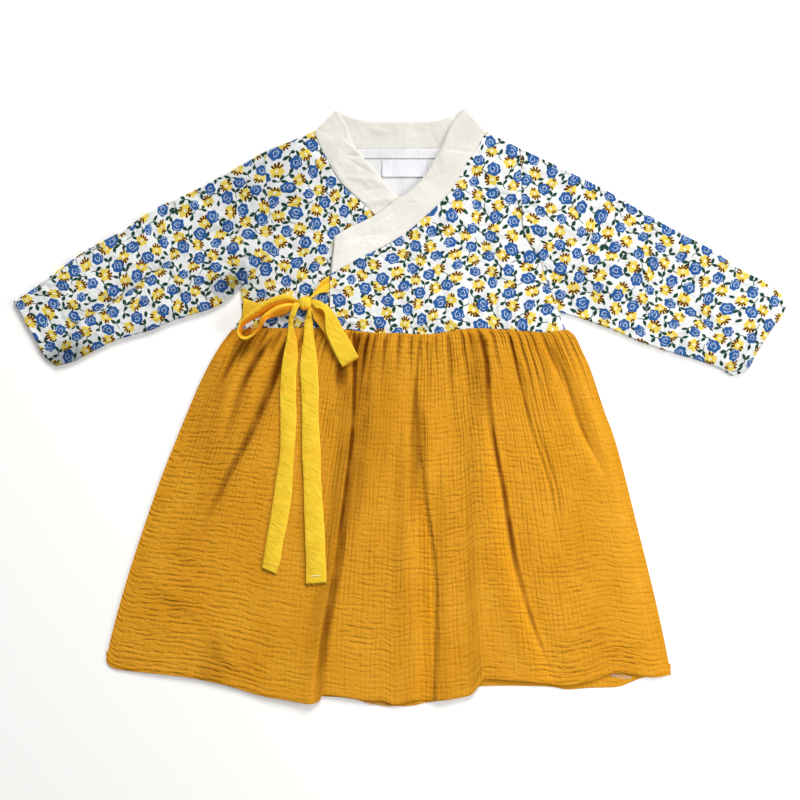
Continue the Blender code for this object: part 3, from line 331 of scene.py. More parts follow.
# Ties of woven tape. Each row has the two edges of the tape, x and y each, and the lift over what lies
# below.
TIE_SIDE_LEAD = [(-150.3, 104.2, -150.6, 83, 0.4), (-143, 101.8, -143, 84.5, 0.4),
                 (-134.5, 98.8, -134.5, 86.6, 0.4), (-122, 98, -122, 90.3, 0.4),
                 (-110, 98.5, -110, 93.8, 0.5), (-99.4, 99.5, -99.4, 96.3, 0.6), ]
TIE_TAIL_LEFT = [
    (-101.4, 100, -94.4, 99.2, 5.2),
    (-103.2, 94.8, -97.3, 94, 5.3),
    (-105.2, 88.6, -99.6, 88, 4.4),
    (-106.4, 84.4, -101.4, 83.4, 2.8),
    (-106.9, 79, -102.4, 78.6, 1.2),
    (-107.6, 72, -100.6, 71.8, 0.6),
    (-109, 62.2, -98.4, 62.2, 0.4),
    (-111.8, 48.9, -97.6, 48.9, 0.4),
    (-114, 31.8, -99, 31.8, 0.4),
    (-115, 10.9, -99.4, 10.9, 0.4),
    (-115, -11.9, -98.8, -11.9, 0.4),
    (-115.4, -42.3, -101, -42.3, 0.4),
    (-119.2, -68.9, -102.6, -68.9, 0.4),
    (-121.6, -87.9, -104, -87.9, 0.4),
    (-124.5, -106.9, -107.2, -107.4, 0.4),
    (-127.8, -125.9, -111.5, -128, 0.4),
    (-130.2, -140.1, -113.9, -144, 0.4),
    (-132.4, -152.6, -118.3, -158.7, 0.4),
]
TIE_TAIL_RIGHT = [
    (-89.6, 96.5, -86.4, 96.5, 4),
    (-88.8, 92.6, -85.4, 92.6, 3.6),
    (-89.8, 87.2, -84.6, 87.6, 2.2),
    (-91.4, 83.1, -83.9, 83, 1),
    (-92.4, 76, -83.5, 78, 0.5),
    (-93.1, 63.2, -81.9, 63.2, 0.4),
    (-96, 40.4, -78.9, 40.4, 0.4),
    (-95, 17.6, -77.9, 17.6, 0.4),
    (-94.1, -11.9, -77.9, -11.9, 0.4),
    (-94.1, -42.3, -76, -42.3, 0.4),
    (-93.1, -68.9, -75.1, -68.9, 0.4),
    (-91.7, -106.9, -72.7, -106.9, 0.4),
    (-91.2, -130.6, -71.7, -130.6, 0.4),
    (-90.7, -145.5, -71, -145, 0.4),
    (-90.7, -168.4, -70.3, -166.7, 0.4),
]
LEFT_CREASES = [
    # y of a crease across the tape, its slope, half width and tone
    (14, -0.25, 3.2, 0.34), (-42.5, 0.10, 3.6, 0.42), (-48, 0.30, 3, 0.16), (-87, -0.20, 3, 0.30),
    (-118, -0.30, 2.6, 0.18), (-146, -0.32, 1.6, 0.26),
]
RIGHT_CREASES = [(9, -0.9, 2.6, 0.28), (-2, -0.7, 2.2, 0.18), (-42, 0.30, 3.4, 0.36), (-46, -0.10, 3.4, 0.26),
                 (-70, -1.1, 2.4, 0.18), (-96, 0.9, 2.4, 0.16), (-132, 0.5, 2.6, 0.20),
                 (-161.5, 0.06, 1.3, 0.24), ]
TIE_FRONT_LEAD = [
    # x, y and z of one edge, then of the other
    (-68.1, 125.4, 5.6, -68.1, 109.3, 5.6),
    (-72.5, 122.3, 5.8, -72, 108.9, 5.8),
    (-76.8, 118.1, 6.2, -75.4, 108.6, 6.2),
    (-80.8, 112, 6.8, -79.4, 107.2, 6.8),
    (-84.4, 106.6, 7.4, -83.6, 104.6, 7.4),
    (-88.4, 103.4, 8.2, -87.6, 101.6, 8.2),
]
LOOP_RIGHT = [
    # left edge x, y and z over the cloth below, then the right edge: over, round the fold, and back
    (-88, 97.6, 1.4, -88, 101.4, 1.8),
    (-84.1, 97.4, 3, -84.1, 102.4, 3.2),
    (-80.8, 93.9, 4.9, -77.9, 101.4, 4.3),
    (-77, 93.4, 6.3, -72.2, 98.2, 5.4),
    (-73.6, 91.2, 6.9, -66.5, 93.4, 5.7),
    (-72, 86.4, 6.8, -62.2, 88.2, 5.6),
    (-72, 79.4, 6.2, -58, 80.8, 5.3),
    (-71.2, 71.2, 5.8, -53.3, 71.4, 5.1),
    (-68.2, 63.4, 5.6, -48.7, 64.4, 5),
    (-64.6, 55.2, 5.4, -44.4, 56.2, 4.9),
    (-60.8, 47.8, 5, -41.6, 51, 4.6),
    (-57.4, 41.2, 4, -40.2, 48.4, 3.9),
    (-55.7, 38, 2.3, -39.8, 47.2, 2.3),
    (-56.6, 39.6, 1.4, -40.6, 48, 1.4),
    (-60.4, 45, 1.1, -42.9, 51, 1.1),
    (-65.1, 53.6, 1, -47.5, 58.5, 1),
    (-69.6, 63.2, 0.9, -52.3, 67, 0.9),
    (-73.6, 71.3, 0.9, -57, 75.5, 0.9),
    (-79, 78.8, 0.9, -63.7, 83.1, 0.9),
    (-82.9, 84, 0.9, -69.6, 90.2, 0.9),
    (-84.5, 90, 0.8, -74, 96.2, 0.9),
    (-87.4, 94, 0.8, -84.4, 96.6, 0.9),
]
LOOP_LEFT = [
    # x, y and z over the cloth below, of the inner edge, the middle and the outer edge. The loop stands and
    # opens upwards, and its way back arches over beside the knot.
    (-96, 97.6, 0.6, -95.8, 99.2, 2.8, -95.6, 101.2, 4),
    (-100.9, 98.9, 0.6, -100.4, 100.2, 4.2, -100, 103.2, 5.8),
    (-107.2, 98.6, 0.5, -107.2, 101, 6.4, -107.2, 106.6, 8.6),
    (-114.4, 96.8, 0.3, -114.6, 99.4, 7.4, -114.6, 106, 10.4),
    (-119.8, 94.8, 0.2, -120.8, 97.3, 8.2, -122, 103.2, 11.6),
    (-125.6, 91.6, 0.2, -127.1, 94.2, 8.6, -129.4, 99.3, 12.2),
    (-131.8, 87.8, 0.2, -133.8, 89.6, 8.8, -137, 93.6, 12.5),
    (-138.8, 84, 0.2, -140.8, 85, 8.8, -144.4, 87.6, 12.6),
    (-145, 80.4, 0.2, -146.9, 81, 8.6, -150.2, 82.4, 12.5),
    (-149.4, 76.6, 0.2, -150.8, 77, 8.4, -153.2, 77.8, 12.4),
    (-151.6, 71.9, 0.2, -152.6, 71.8, 8.2, -154.3, 71.4, 12.2),
    (-150.6, 68.9, 0.2, -151.2, 68.3, 8, -152.4, 66.6, 12),
    (-148, 67.3, 0.2, -148, 66.3, 7.8, -148, 64.2, 11.9),
    (-144.5, 68, 0.2, -144, 67, 7.8, -143.3, 65.1, 11.9),
    (-140, 70.8, 0.2, -139.5, 69.9, 7.8, -138.8, 68.1, 12),
    (-136.3, 75.1, 0.2, -135.2, 74.2, 7.9, -133.6, 72.5, 12.1),
    (-134.9, 79.4, 0.2, -133.2, 78.8, 8, -130.6, 77.6, 12),
    (-134, 84.2, 0.2, -131, 83.4, 8.2, -127.4, 81.6, 11.2),
    (-131.4, 88.2, 0.3, -128, 86.8, 8.6, -124.6, 83.8, 8.2),
    (-126.2, 92.6, 0.3, -122.8, 90.2, 9.2, -120.4, 85.2, 4),
    (-119.6, 95.8, 0.5, -117.2, 93.8, 9.2, -114.8, 86.6, 1.4),
    (-113.6, 97.8, 0.6, -111.8, 95.6, 8, -109.2, 88.4, 0.9),
    (-107.2, 98.8, 0.6, -106.4, 97, 5.6, -104.8, 91, 0.6),
    (-101.2, 98.8, 0.4, -100.9, 97.6, 3, -100.2, 93.8, 0.5),
    (-96, 97.2, 0.2, -95.8, 96.2, 1.4, -95.6, 94.6, 0.8),
]
KNOT_CENTRE = (-90.6, 98.4, 8.4)
KNOT_SIZE = (13, 12.8, 7.2)

# Inside the neck: the white lining with the tape and label over it, which run in under the collar.
LINING_LEFT = [(-43.5, 245.3), (-41.5, 237), (-34, 228), (-26, 218), (-16, 205), (-5, 192.6)]
LINING_RIGHT = [(41, 245.3), (38, 234.5), (31.5, 224), (24.5, 213), (14.5, 203), (3, 192.6)]
LINING_LEVEL = 1.5
NECK_TAPE = ((-43, 246.5), (40.5, 246.5), (-38.5, 236.3), (35.5, 236.3))
LABEL = ((-18.5, 235.4), (25.2, 235.4), (-18.5, 219), (25.2, 219))
PATCH_LIFT = 0.16     # middle of the neck tape and label over the lining
PATCH = 0.14          # wall of the neck tape and label
LABEL_CURL = 0.8      # how far the free lower edge of the label stands up

# Print: in each square of this side there are a rose, a yellow flower, a sprig, and one more sprig or leaf.
MOTIF_CELL = 20.3
MOTIF_JITTER = 0.22   # how far a motif may lie from its place, in cells, from end to end
DASHES = 12           # places for a dash all round a yellow flower
PRINT_TURN = 27.0     # lattice of the print against the bodice, in degrees
PRINT_DRIFT = (52.0, 15.0)    # the rows of the print bend: size and strength of the noise that moves them
INK_WOBBLE = (3.2, 1.3)       # the outlines are drawn by hand: size and strength of the noise in them
INK_EDGE = 0.3        # width over which an ink fades into the cloth
DASH_HALF = 0.82      # half the width of such a dash
LAWN_WHITE = "#ECEFEF"
# Painted shade: the lawn is multiplied with this colour to the share that its mesh marks.
LAWN_SHADE = "#A6AAB0"  # what the folds of the lawn are multiplied with where they are deepest


def smooth_curve(table, steps):
    """Catmull-Rom curve through the rows of a table, with `steps` spans between each two rows."""
    rows = np.array(table, dtype=float)
    before = np.vstack([2 * rows[0] - rows[1], rows[:-2]])
    after = np.vstack([rows[2:], 2 * rows[-1] - rows[-2]])
    start, end = rows[:-1], rows[1:]
    spans = []
    for t in np.arange(steps) / steps:
        spans.append(0.5 * (2 * start + (end - before) * t + (2 * before - 5 * start + 4 * end - after) * t**2
                            + (3 * start - before - 3 * end + after) * t**3))
    curve = np.stack(spans, axis=1).reshape(-1, rows.shape[1])
    return np.vstack([curve, rows[-1]])


def along(curve, shares):
    """Points of a curve at given shares of its length."""
    curve = np.asarray(curve, dtype=float)
    lengths = run_along(curve[:, :2])
    return np.column_stack([np.interp(shares, lengths / lengths[-1], c) for c in curve.T])


def at_heights(curve, y):
    """Points of a curve, which falls all the way, at given values of y."""
    curve = np.asarray(curve, dtype=float)[::-1]
    return np.column_stack([np.interp(y, curve[:, 1], curve[:, 0]), y])


def ease(x):
    """Smooth step from 0 to 1: 3x squared less 2x cubed."""
    x = np.clip(x, 0, 1)
    return x * x * (3 - 2 * x)


def bell(distance, reach):
    """Bell curve: e to the power of minus the square of distance over reach."""
    return np.exp(-(distance / reach) ** 2)


def wander(x, y, across, down, seed):
    """Smooth noise from -1 to 1: random values on a lattice of cells `across` by `down`, eased between
    them."""
    lattice = np.random.default_rng(seed).uniform(-1, 1, (128, 128))
    i, j = np.floor(x / across).astype(int), np.floor(y / down).astype(int)
    s, t = ease(x / across - i), ease(y / down - j)
    low = lattice[i % 128, j % 128] * (1 - s) + lattice[(i + 1) % 128, j % 128] * s
    high = lattice[i % 128, (j + 1) % 128] * (1 - s) + lattice[(i + 1) % 128, (j + 1) % 128] * s
    return low * (1 - t) + high * t


def coons(top, bottom, left, right, u, v):
    """Grid of points between four edges that share their corners: rows by v, columns by u."""
    u, v = u[None, :, None], v[:, None, None]
    across = (1 - v) * top[None] + v * bottom[None]
    down = (1 - u) * left[:, None] + u * right[:, None]
    corners = (1 - v) * ((1 - u) * top[0] + u * top[-1]) + v * ((1 - u) * bottom[0] + u * bottom[-1])
    return across + down - corners


def with_heights(grid, heights):
    """Grid of points in space from a flat grid and the height of each point."""
    return np.dstack([grid[..., 0], grid[..., 1], np.broadcast_to(heights, grid.shape[:2])])


def run_along(points):
    """Length of a line of points up to each of them."""
    return np.concatenate([[0], np.cumsum(np.linalg.norm(np.diff(points, axis=0), axis=1))])


def turned_to(x, y, cx, cy, degrees):
    """Places along and across a direction, from a centre."""
    a = math.radians(degrees)
    return ((x - cx) * math.cos(a) + (y - cy) * math.sin(a), (y - cy) * math.cos(a) - (x - cx) * math.sin(a))


def from_path(x, y, path):
    """Distance of each point to the left of a path, and how far along the path it lies, from 0 to 1."""
    points = smooth_curve(path, 8)
    start, run = points[:-1], np.diff(points, axis=0)
    place = np.stack([np.ravel(x), np.ravel(y)], axis=1)[:, None, :] - start[None]
    share = np.clip((place * run).sum(2) / (run * run).sum(1), 0, 1)
    offset = place - share[..., None] * run
    nearest = np.linalg.norm(offset, axis=2).argmin(axis=1)
    rows = np.arange(len(nearest))
    near, way = offset[rows, nearest], run[nearest]
    side = (way[:, 0] * near[:, 1] - way[:, 1] * near[:, 0]) / np.linalg.norm(way, axis=1)
    distance = np.linalg.norm(near, axis=1)
    progress = (nearest + share[rows, nearest]) / len(run)
    ends = (progress <= 0) | (progress >= 1)
    side = np.where(ends, np.sign(side) * distance, side)
    return side.reshape(np.shape(x)), progress.reshape(np.shape(x))


# Settings of a Mix node that mixes two colours, which are its inputs 6 and 7, by the share at its input 0.
IN_COLOUR = {"out": 2, "data_type": "RGBA"}


def plug(node, sockets):
    """Links inputs of a node to outputs, or sets them to values."""
    for name, value in sockets.items():
        if isinstance(value, bpy.types.NodeSocket):
            node.id_data.links.new(value, node.inputs[name])
        else:
            node.inputs[name].default_value = value


def add_node(tree, kind, *inputs, out=0, **settings):
    """Output of a new node of a kind, such as Mix or Math ADD, with its settings. Its inputs are given in
    their order, or in one dict by name or number. A slice of outputs gives a list."""
    kind, _, operation = kind.partition(" ")
    node = tree.nodes.new("ShaderNode" + kind)
    if operation:
        node.operation = operation
    for name, value in settings.items():
        setattr(node, name, value)
    named = len(inputs) == 1 and isinstance(inputs[0], dict)
    plug(node, inputs[0] if named else dict(enumerate(inputs)))
    return node.outputs[out]


def new_material(name):
    """Material, the function that adds a node to it, its Principled shader, and the cloth's own place in
    millimetres of flat cloth."""
    material = bpy.data.materials.new(name)
    material.use_nodes = True
    add = functools.partial(add_node, material.node_tree)
    cloth = add("VectorMath MULTIPLY", add("UVMap", uv_map="cloth"), (1 / MM,) * 3)
    return material, add, material.node_tree.nodes["Principled BSDF"], cloth


def colour(code):
    """Linear RGBA of an sRGB hex value."""
    parts = [int(code[i:i + 2], 16) / 255 for i in (1, 3, 5)]
    return (*[c / 12.92 if c <= 0.04045 else ((c + 0.055) / 1.055) ** 2.4 for c in parts], 1.0)


def scattered(add, cloth, across, down, seed):
    """One motif in each cell of a turned square lattice, shifted by shares of a cell, whose rows slide at
    random: its own place in millimetres from the motif's middle, turned at random, and a random value."""
    turned = add("VectorRotate", {"Vector": cloth, "Angle": math.radians(PRINT_TURN)}, rotation_type="Z_AXIS")
    place = add("VectorMath MULTIPLY_ADD", turned, (1 / MOTIF_CELL,) * 3, (across, down, 0))
    along_row, over_rows = add("SeparateXYZ", place, out=slice(2))
    row = add("Math FLOOR", over_rows)
    row_seed = add("Math ADD", row, 0.37 + 17.3 * down)
    slide = add("TexWhiteNoise", {"W": row_seed}, noise_dimensions="1D")
    x = add("Math ADD", along_row, slide)
    column = add("Math FLOOR", x)
    key = add("CombineXYZ", {"X": column, "Y": row, "Z": seed + 0.5})
    chance, chances = add("TexWhiteNoise", {"Vector": key}, out=slice(2), noise_dimensions="3D")
    middle = add("VectorMath MULTIPLY_ADD", chances, (MOTIF_JITTER,) * 3, (0.5 - MOTIF_JITTER / 2,) * 3)
    corner = add("CombineXYZ", {"X": column, "Y": row})
    here = add("CombineXYZ", {"X": x, "Y": over_rows})
    inside = add("VectorMath SUBTRACT", here, corner)
    offset = add("VectorMath SUBTRACT", inside, middle)
    flat = add("VectorMath MULTIPLY", offset, (MOTIF_CELL, MOTIF_CELL, 0))
    spin = add("Math MULTIPLY", chance, 40 * math.tau)
    own = add("VectorRotate", {"Vector": flat, "Angle": spin}, rotation_type="Z_AXIS")
    return own, add("SeparateXYZ", chances, out=2)


def inked(add, distance):
    """1 where a distance in millimetres is above 0 and 0 where it is below, with a soft edge."""
    return add("Math MULTIPLY_ADD", distance, 1 / INK_EDGE, 0.5, use_clamp=True)


def widest(add, shapes):
    """How far inside any of several shapes a place lies: the greatest of their own distances."""
    return functools.reduce(lambda one, other: add("Math MAXIMUM", one, other), shapes)


def polar(add, own):
    """Distance from a motif's middle and direction round it."""
    x, y = add("SeparateXYZ", own, out=slice(2))
    far = add("VectorMath LENGTH", own, out=1)
    around = add("Math ARCTAN2", y, x)
    return far, around


def petalled(add, far, around, petals, phase, radius, depth):
    """How far inside a scalloped outline a place lies. The outline's radius less the depth grows by the
    depth times the size of the cosine of half as many turns as there are petals, so that petals are round
    and notches sharp."""
    turn = add("Math MULTIPLY_ADD", around, petals / 2, phase)
    wave = add("Math ABSOLUTE", add("Math COSINE", turn))
    rim = add("Math MULTIPLY_ADD", wave, depth, radius)
    return add("Math SUBTRACT", rim, far)


def arc(add, far, around, radius, half, phase, level):
    """How far inside a line a place lies that runs round a circle, where the sine of the direction and a
    phase is over a level."""
    off = add("Math ABSOLUTE", add("Math SUBTRACT", far, radius))
    line = add("Math SUBTRACT", half, off)
    wave = add("Math SINE", add("Math ADD", around, phase))
    gate = add("Math MULTIPLY_ADD", wave, radius, -radius * level)
    return add("Math MINIMUM", line, gate)


def leaf(add, own, start, angle, length, width):
    """How far inside a pointed leaf a place lies. Half the leaf's width is 2t(1 - t) of the full one, with
    t along its length."""
    moved = add("VectorMath SUBTRACT", own, (*start, 0))
    turned = add("VectorRotate", {"Vector": moved, "Angle": math.radians(-angle)}, rotation_type="Z_AXIS")
    x, y = add("SeparateXYZ", turned, out=slice(2))
    t = add("Math DIVIDE", x, length)
    rest = add("Math SUBTRACT", 1.0, t)
    swell = add("Math MULTIPLY", t, rest)
    beside = add("Math ABSOLUTE", y)
    half = add("Math MULTIPLY", swell, 2 * width)
    return add("Math SUBTRACT", half, beside)


def stem(add, own, bend, half, length):
    """How far inside a curved stem a place lies: y is near the bend times x squared, behind the leaves."""
    x, y = add("SeparateXYZ", own, out=slice(2))
    off = add("Math MULTIPLY_ADD", add("Math MULTIPLY", x, x), -bend, y)
    line = add("Math SUBTRACT", half, add("Math ABSOLUTE", off))
    back = add("Math ADD", x, length)
    front = add("Math SUBTRACT", 0.6, x)
    ends = add("Math MINIMUM", back, front)
    return add("Math MINIMUM", line, ends)


def printed_lawn():
    """Cotton lawn, plain woven and screen printed: a matt white ground with flat inks, whose edges are a
    little soft, since the cloth takes them thread by thread. Roses lie over yellow flowers, and these over
    sprigs and leaves."""
    material, add, shader, cloth = new_material("printed cotton lawn")
    drawn = cloth
    for size, strength in (PRINT_DRIFT, INK_WOBBLE):
        moved = add("TexNoise", {"Vector": cloth, "Scale": 1 / size, "Detail": 1.0}, out=1)
        drawn = add("VectorMath MULTIPLY_ADD", moved, (strength, strength, 0), drawn)

    first, _ = scattered(add, drawn, 0.5, 0.0, 3)
    second, third = scattered(add, drawn, 0.5, 0.5, 11)
    shapes = [leaf(add, first, (0.1, 0.0), 36, 6.6, 3.2), leaf(add, first, (-0.2, -0.1), -42, 6.0, 3.1),
              leaf(add, first, (-2.6, 0.3), 118, 5.2, 2.8), stem(add, first, 0.07, 0.42, 5.8),
              leaf(add, second, (-0.4, 0.3), 50, 6.4, 3.2)]
    pair = [leaf(add, second, (-0.4, 0.0), -36, 6.2, 3.2), stem(add, second, -0.08, 0.42, 5.2)]
    chosen = add("Math MULTIPLY_ADD", third, 50.0, -21.0)
    shapes += [add("Math MINIMUM", shape, chosen) for shape in pair]
    green = inked(add, widest(add, shapes))

    own, third = scattered(add, drawn, 0.0, 0.5, 5)
    far, around = polar(add, own)
    phase = add("Math MULTIPLY", third, math.tau)
    petals = inked(add, petalled(add, far, around, 6, phase, 4.5, 1.5))
    eye = inked(add, add("Math SUBTRACT", 1.1, far))
    spoke = add("Math MULTIPLY", around, DASHES / math.tau)
    between = add("Math SUBTRACT", add("Math FRACT", spoke), 0.5)
    apart = add("Math MULTIPLY", add("Math ABSOLUTE", between), far)
    stroke = add("Math MULTIPLY_ADD", apart, -math.tau / DASHES, DASH_HALF)
    spoke_seed = add("Math ADD", add("Math FLOOR", spoke), third)
    uneven = add("TexWhiteNoise", {"W": spoke_seed}, noise_dimensions="1D")
    off_front = add("Math ABSOLUTE", around)
    fans = []
    for inner, outer, turned_from, spread in ((2.7, 6.0, 0.0, 0.95), (3.0, 5.4, math.pi, 0.5)):
        reach = add("Math MULTIPLY_ADD", uneven, 1.0, outer)
        past = add("Math SUBTRACT", far, inner)
        within = add("Math SUBTRACT", reach, far)
        off_axis = add("Math SUBTRACT", off_front, turned_from)
        aside = add("Math MULTIPLY_ADD", add("Math ABSOLUTE", off_axis), -9.0, 9.0 * spread)
        fan = add("Math MINIMUM", add("Math MINIMUM", stroke, past), within)
        fans.append(add("Math MINIMUM", fan, aside))
    strokes = inked(add, widest(add, fans))

    own, third = scattered(add, drawn, 0.0, 0.0, 7)
    far, around = polar(add, own)
    phase = add("Math MULTIPLY", third, math.tau)
    size = add("Math MULTIPLY_ADD", add("Math POWER", third, 0.35), 1.7, 3.7)
    rose = inked(add, petalled(add, far, around, 6, phase, size, 1.0))
    coil = add("VectorMath SUBTRACT", own, (0.4, -0.3, 0))
    far, around = polar(add, coil)
    across = add("Math ADD", phase, 2.6)
    lights = [arc(add, far, around, *line)
              for line in ((1.4, 0.30, phase, -0.40), (2.8, 0.34, across, 0.20), (3.8, 0.30, phase, 0.68))]
    petal_lights = add("Math MULTIPLY", inked(add, widest(add, lights)), rose)

    eye = add("Math MULTIPLY", eye, petals)
    seen = colour(LAWN_WHITE)
    for mask, ink in ((green, "#1A4333"), (petals, "#EBD25C"), (eye, LAWN_WHITE),
                      (strokes, "#581411"), (rose, "#2C5C9C"), (petal_lights, "#BFD0EA")):
        seen = add("Mix", {0: mask, 6: seen, 7: colour(ink)}, **IN_COLOUR)
    thread = add("TexNoise", {"Vector": cloth, "Scale": 1 / 0.9, "Detail": 2.0})
    worn = add("MapRange", thread, 0.2, 0.8, 0.92, 1.03)
    print_and_painted_shade = add("Mix", {0: 1.0, 6: seen, 7: worn}, **IN_COLOUR, blend_type="MULTIPLY")
    # Painted shade: the lawn is multiplied towards LAWN_SHADE by the share that the mesh marks.
    fold = add("Attribute", out=2, attribute_name="painted_shading")
    print_and_painted_shade = add("Mix", {0: fold, 6: print_and_painted_shade, 7: colour(LAWN_SHADE)}, **IN_COLOUR, blend_type="MULTIPLY")
    weave = add("TexNoise", {"Vector": cloth, "Scale": 1 / 1.4, "Detail": 3.0})
    crumple = add("TexNoise", {"Vector": cloth, "Scale": 1 / 24, "Detail": 2.5, "Distortion": 0.9})
    soft = add("Bump", {"Strength": 0.8, "Distance": 0.006, "Height": crumple})
    relief = add("Bump", {"Strength": 0.25, "Distance": 0.0003, "Height": weave, "Normal": soft})
    plug(shader, {"Base Color": print_and_painted_shade, "Normal": relief, "Roughness": 0.82, "Specular IOR Level": 0.10,
                  "Sheen Weight": 0.03})
    return material


def crinkle_lines(add, cloth, upright, spacing, reach, bend, seed):
    """Soft troughs washed into the cloth, a spacing apart, bent and broken by noise that is long one way: 1
    along a trough and 0 between two, as the fourth power of half a cosine wave."""
    scale = (1 / (2.4 * spacing), 1 / reach, 1.0) if upright else (1 / reach, 1 / (2.4 * spacing), 1.0)
    wide = add("VectorMath MULTIPLY_ADD", cloth, scale, (seed, seed / 3, 0))
    sway = add("TexNoise", {"Vector": wide, "Scale": 1.0, "Detail": 1.0})
    apart = add("VectorMath ADD", wide, (7.3, 3.1, 0))
    breaks = add("TexNoise", {"Vector": apart, "Scale": 1.6, "Detail": 1.5})
    over = add("SeparateXYZ", cloth, out=0 if upright else 1)
    straight = add("Math MULTIPLY", over, math.pi / spacing)
    phase = add("Math MULTIPLY_ADD", sway, math.pi * bend, straight)
    wave = add("Math ABSOLUTE", add("Math COSINE", phase))
    trough = add("Math POWER", wave, 4.0)
    kept = add("MapRange", breaks, 0.36, 0.60, 0.12, 1.0, interpolation_type="SMOOTHSTEP")
    return add("Math MULTIPLY", trough, kept)


def streaked(add, place, across, down, **more):
    """Noise that is a given size in millimetres across the cloth and down it."""
    scaled = add("VectorMath MULTIPLY", place, (1 / across, 1 / down, 1.0))
    return add("TexNoise", {"Vector": scaled, "Scale": 1.0, **more})


def double_gauze():
    """Cotton double gauze: two open layers tacked together and washed, so that it shrinks into fine crinkles.
    It is soft and matt. Painted shade makes it darker in its crinkle troughs than on its crests and deeper in
    its folds and gathers, and painted light makes it brighter and warmer on the flanks that a fold beside
    them would light."""
    material, add, shader, cloth = new_material("mustard double gauze")
    level = crinkle_lines(add, cloth, False, 5.1, 22, 1.3, 1.0)
    loose = crinkle_lines(add, cloth, False, 7.2, 18, 1.7, 5.0)
    pleats = crinkle_lines(add, cloth, True, 5.2, 60, 1.2, 9.0)
    fine = crinkle_lines(add, cloth, True, 2.9, 24, 1.0, 14.0)
    fold, pull, worn = (add("Attribute", out=2, attribute_name=mark)
                        for mark in ("painted_shading", "gathered", "worn"))
    upright = add("MapRange", pull, 0.0, 0.8, 0.22, 1.0)
    lines = add("Math MULTIPLY_ADD", loose, 0.5, level)
    beads = add("Math MULTIPLY_ADD", fine, 0.3, pleats)
    beads = add("Math MULTIPLY", beads, upright)
    creased = add("Math MULTIPLY_ADD", lines, worn, beads)
    ripples = streaked(add, cloth, 6.0, 2.4, Detail=3.0, Roughness=0.6)
    cloud = add("TexNoise", {"Vector": cloth, "Scale": 1 / 50, "Detail": 2.0})
    fleck = add("TexNoise", {"Vector": cloth, "Scale": 1 / 1.5, "Detail": 2.0})
    tone = add("Math MULTIPLY_ADD", ripples, 0.4, add("Math MULTIPLY", cloud, 0.5))
    tone = add("Math MULTIPLY_ADD", fleck, 0.35, tone)
    share = add("MapRange", tone, 0.45, 0.82, 0.0, 1.0)
    seen = add("Mix", {0: share, 6: colour("#D6901D"), 7: colour("#E7A62E")}, **IN_COLOUR)
    # Painted shade in the crinkle troughs.
    painted_trough_shade = add("Math MULTIPLY", creased, 0.22, use_clamp=True)
    seen = add("Mix", {0: painted_trough_shade, 6: seen, 7: colour("#A8660E")}, **IN_COLOUR)
    # Painted light: brighter orange where the marked tone is below 0.
    lit = add("MapRange", fold, -1.0, 0.0, 0.75, 0.0)
    seen = add("Mix", {0: lit, 6: seen, 7: colour("#FAA61C")}, **IN_COLOUR)
    # Painted shade: deep brown where the marked tone is above 0, in the folds and gathers.
    deep = add("MapRange", fold, 0.0, 1.0, 0.0, 1.0)
    seen = add("Mix", {0: deep, 6: seen, 7: colour("#6E3C06")}, **IN_COLOUR)
    height = add("Math MULTIPLY_ADD", creased, -1.05, ripples)
    relief = add("Bump", {"Strength": 0.8, "Distance": 0.0008, "Height": height})
    threads = add("Bump", {"Strength": 0.4, "Distance": 0.0004, "Height": fleck, "Normal": relief})
    plug(shader, {"Base Color": seen, "Normal": threads, "Roughness": 0.95, "Specular IOR Level": 0.06,
                  "Sheen Weight": 0.08, "Sheen Tint": colour("#F0A030")})
    return material


def linen_cotton(name, light, dark, thread=1.3):
    """Plain-woven linen and cotton, pressed: off-white and matt, with thicker slubs that run along both
    threads, drawn a few threads wide so that they show. Painted shade makes it a little greyer where its mesh
    marks it."""
    material, add, shader, cloth = new_material(name)
    weft = streaked(add, cloth, 9 * thread, 0.7 * thread, Detail=2.0)
    warp = streaked(add, cloth, 0.7 * thread, 9 * thread, Detail=2.0)
    woven = add("Math ADD", weft, warp)
    cloud = add("TexNoise", {"Vector": cloth, "Scale": 1 / 30, "Detail": 3.0})
    tone = add("Math MULTIPLY_ADD", cloud, 0.9, add("Math MULTIPLY", woven, 0.3))
    share = add("MapRange", tone, 0.5, 1.0, 0.0, 1.0)
    seen = add("Mix", {0: share, 6: colour(dark), 7: colour(light)}, **IN_COLOUR)
    # Painted shade: a little greyer where the mesh marks it.
    painted_shade_share = add("Attribute", out=2, attribute_name="painted_shading")
    seen = add("Mix", {0: painted_shade_share, 6: seen, 7: colour("#EFEEEC")}, **IN_COLOUR, blend_type="MULTIPLY")
    creases = streaked(add, cloth, 18, 26, Detail=3.0, Distortion=0.5)
    soft = add("Bump", {"Strength": 0.8, "Distance": 0.0026, "Height": creases})
    relief = add("Bump", {"Strength": 0.35, "Distance": 0.0004, "Height": woven, "Normal": soft})
    plug(shader, {"Base Color": seen, "Normal": relief, "Roughness": 0.85, "Specular IOR Level": 0.25})
    return material


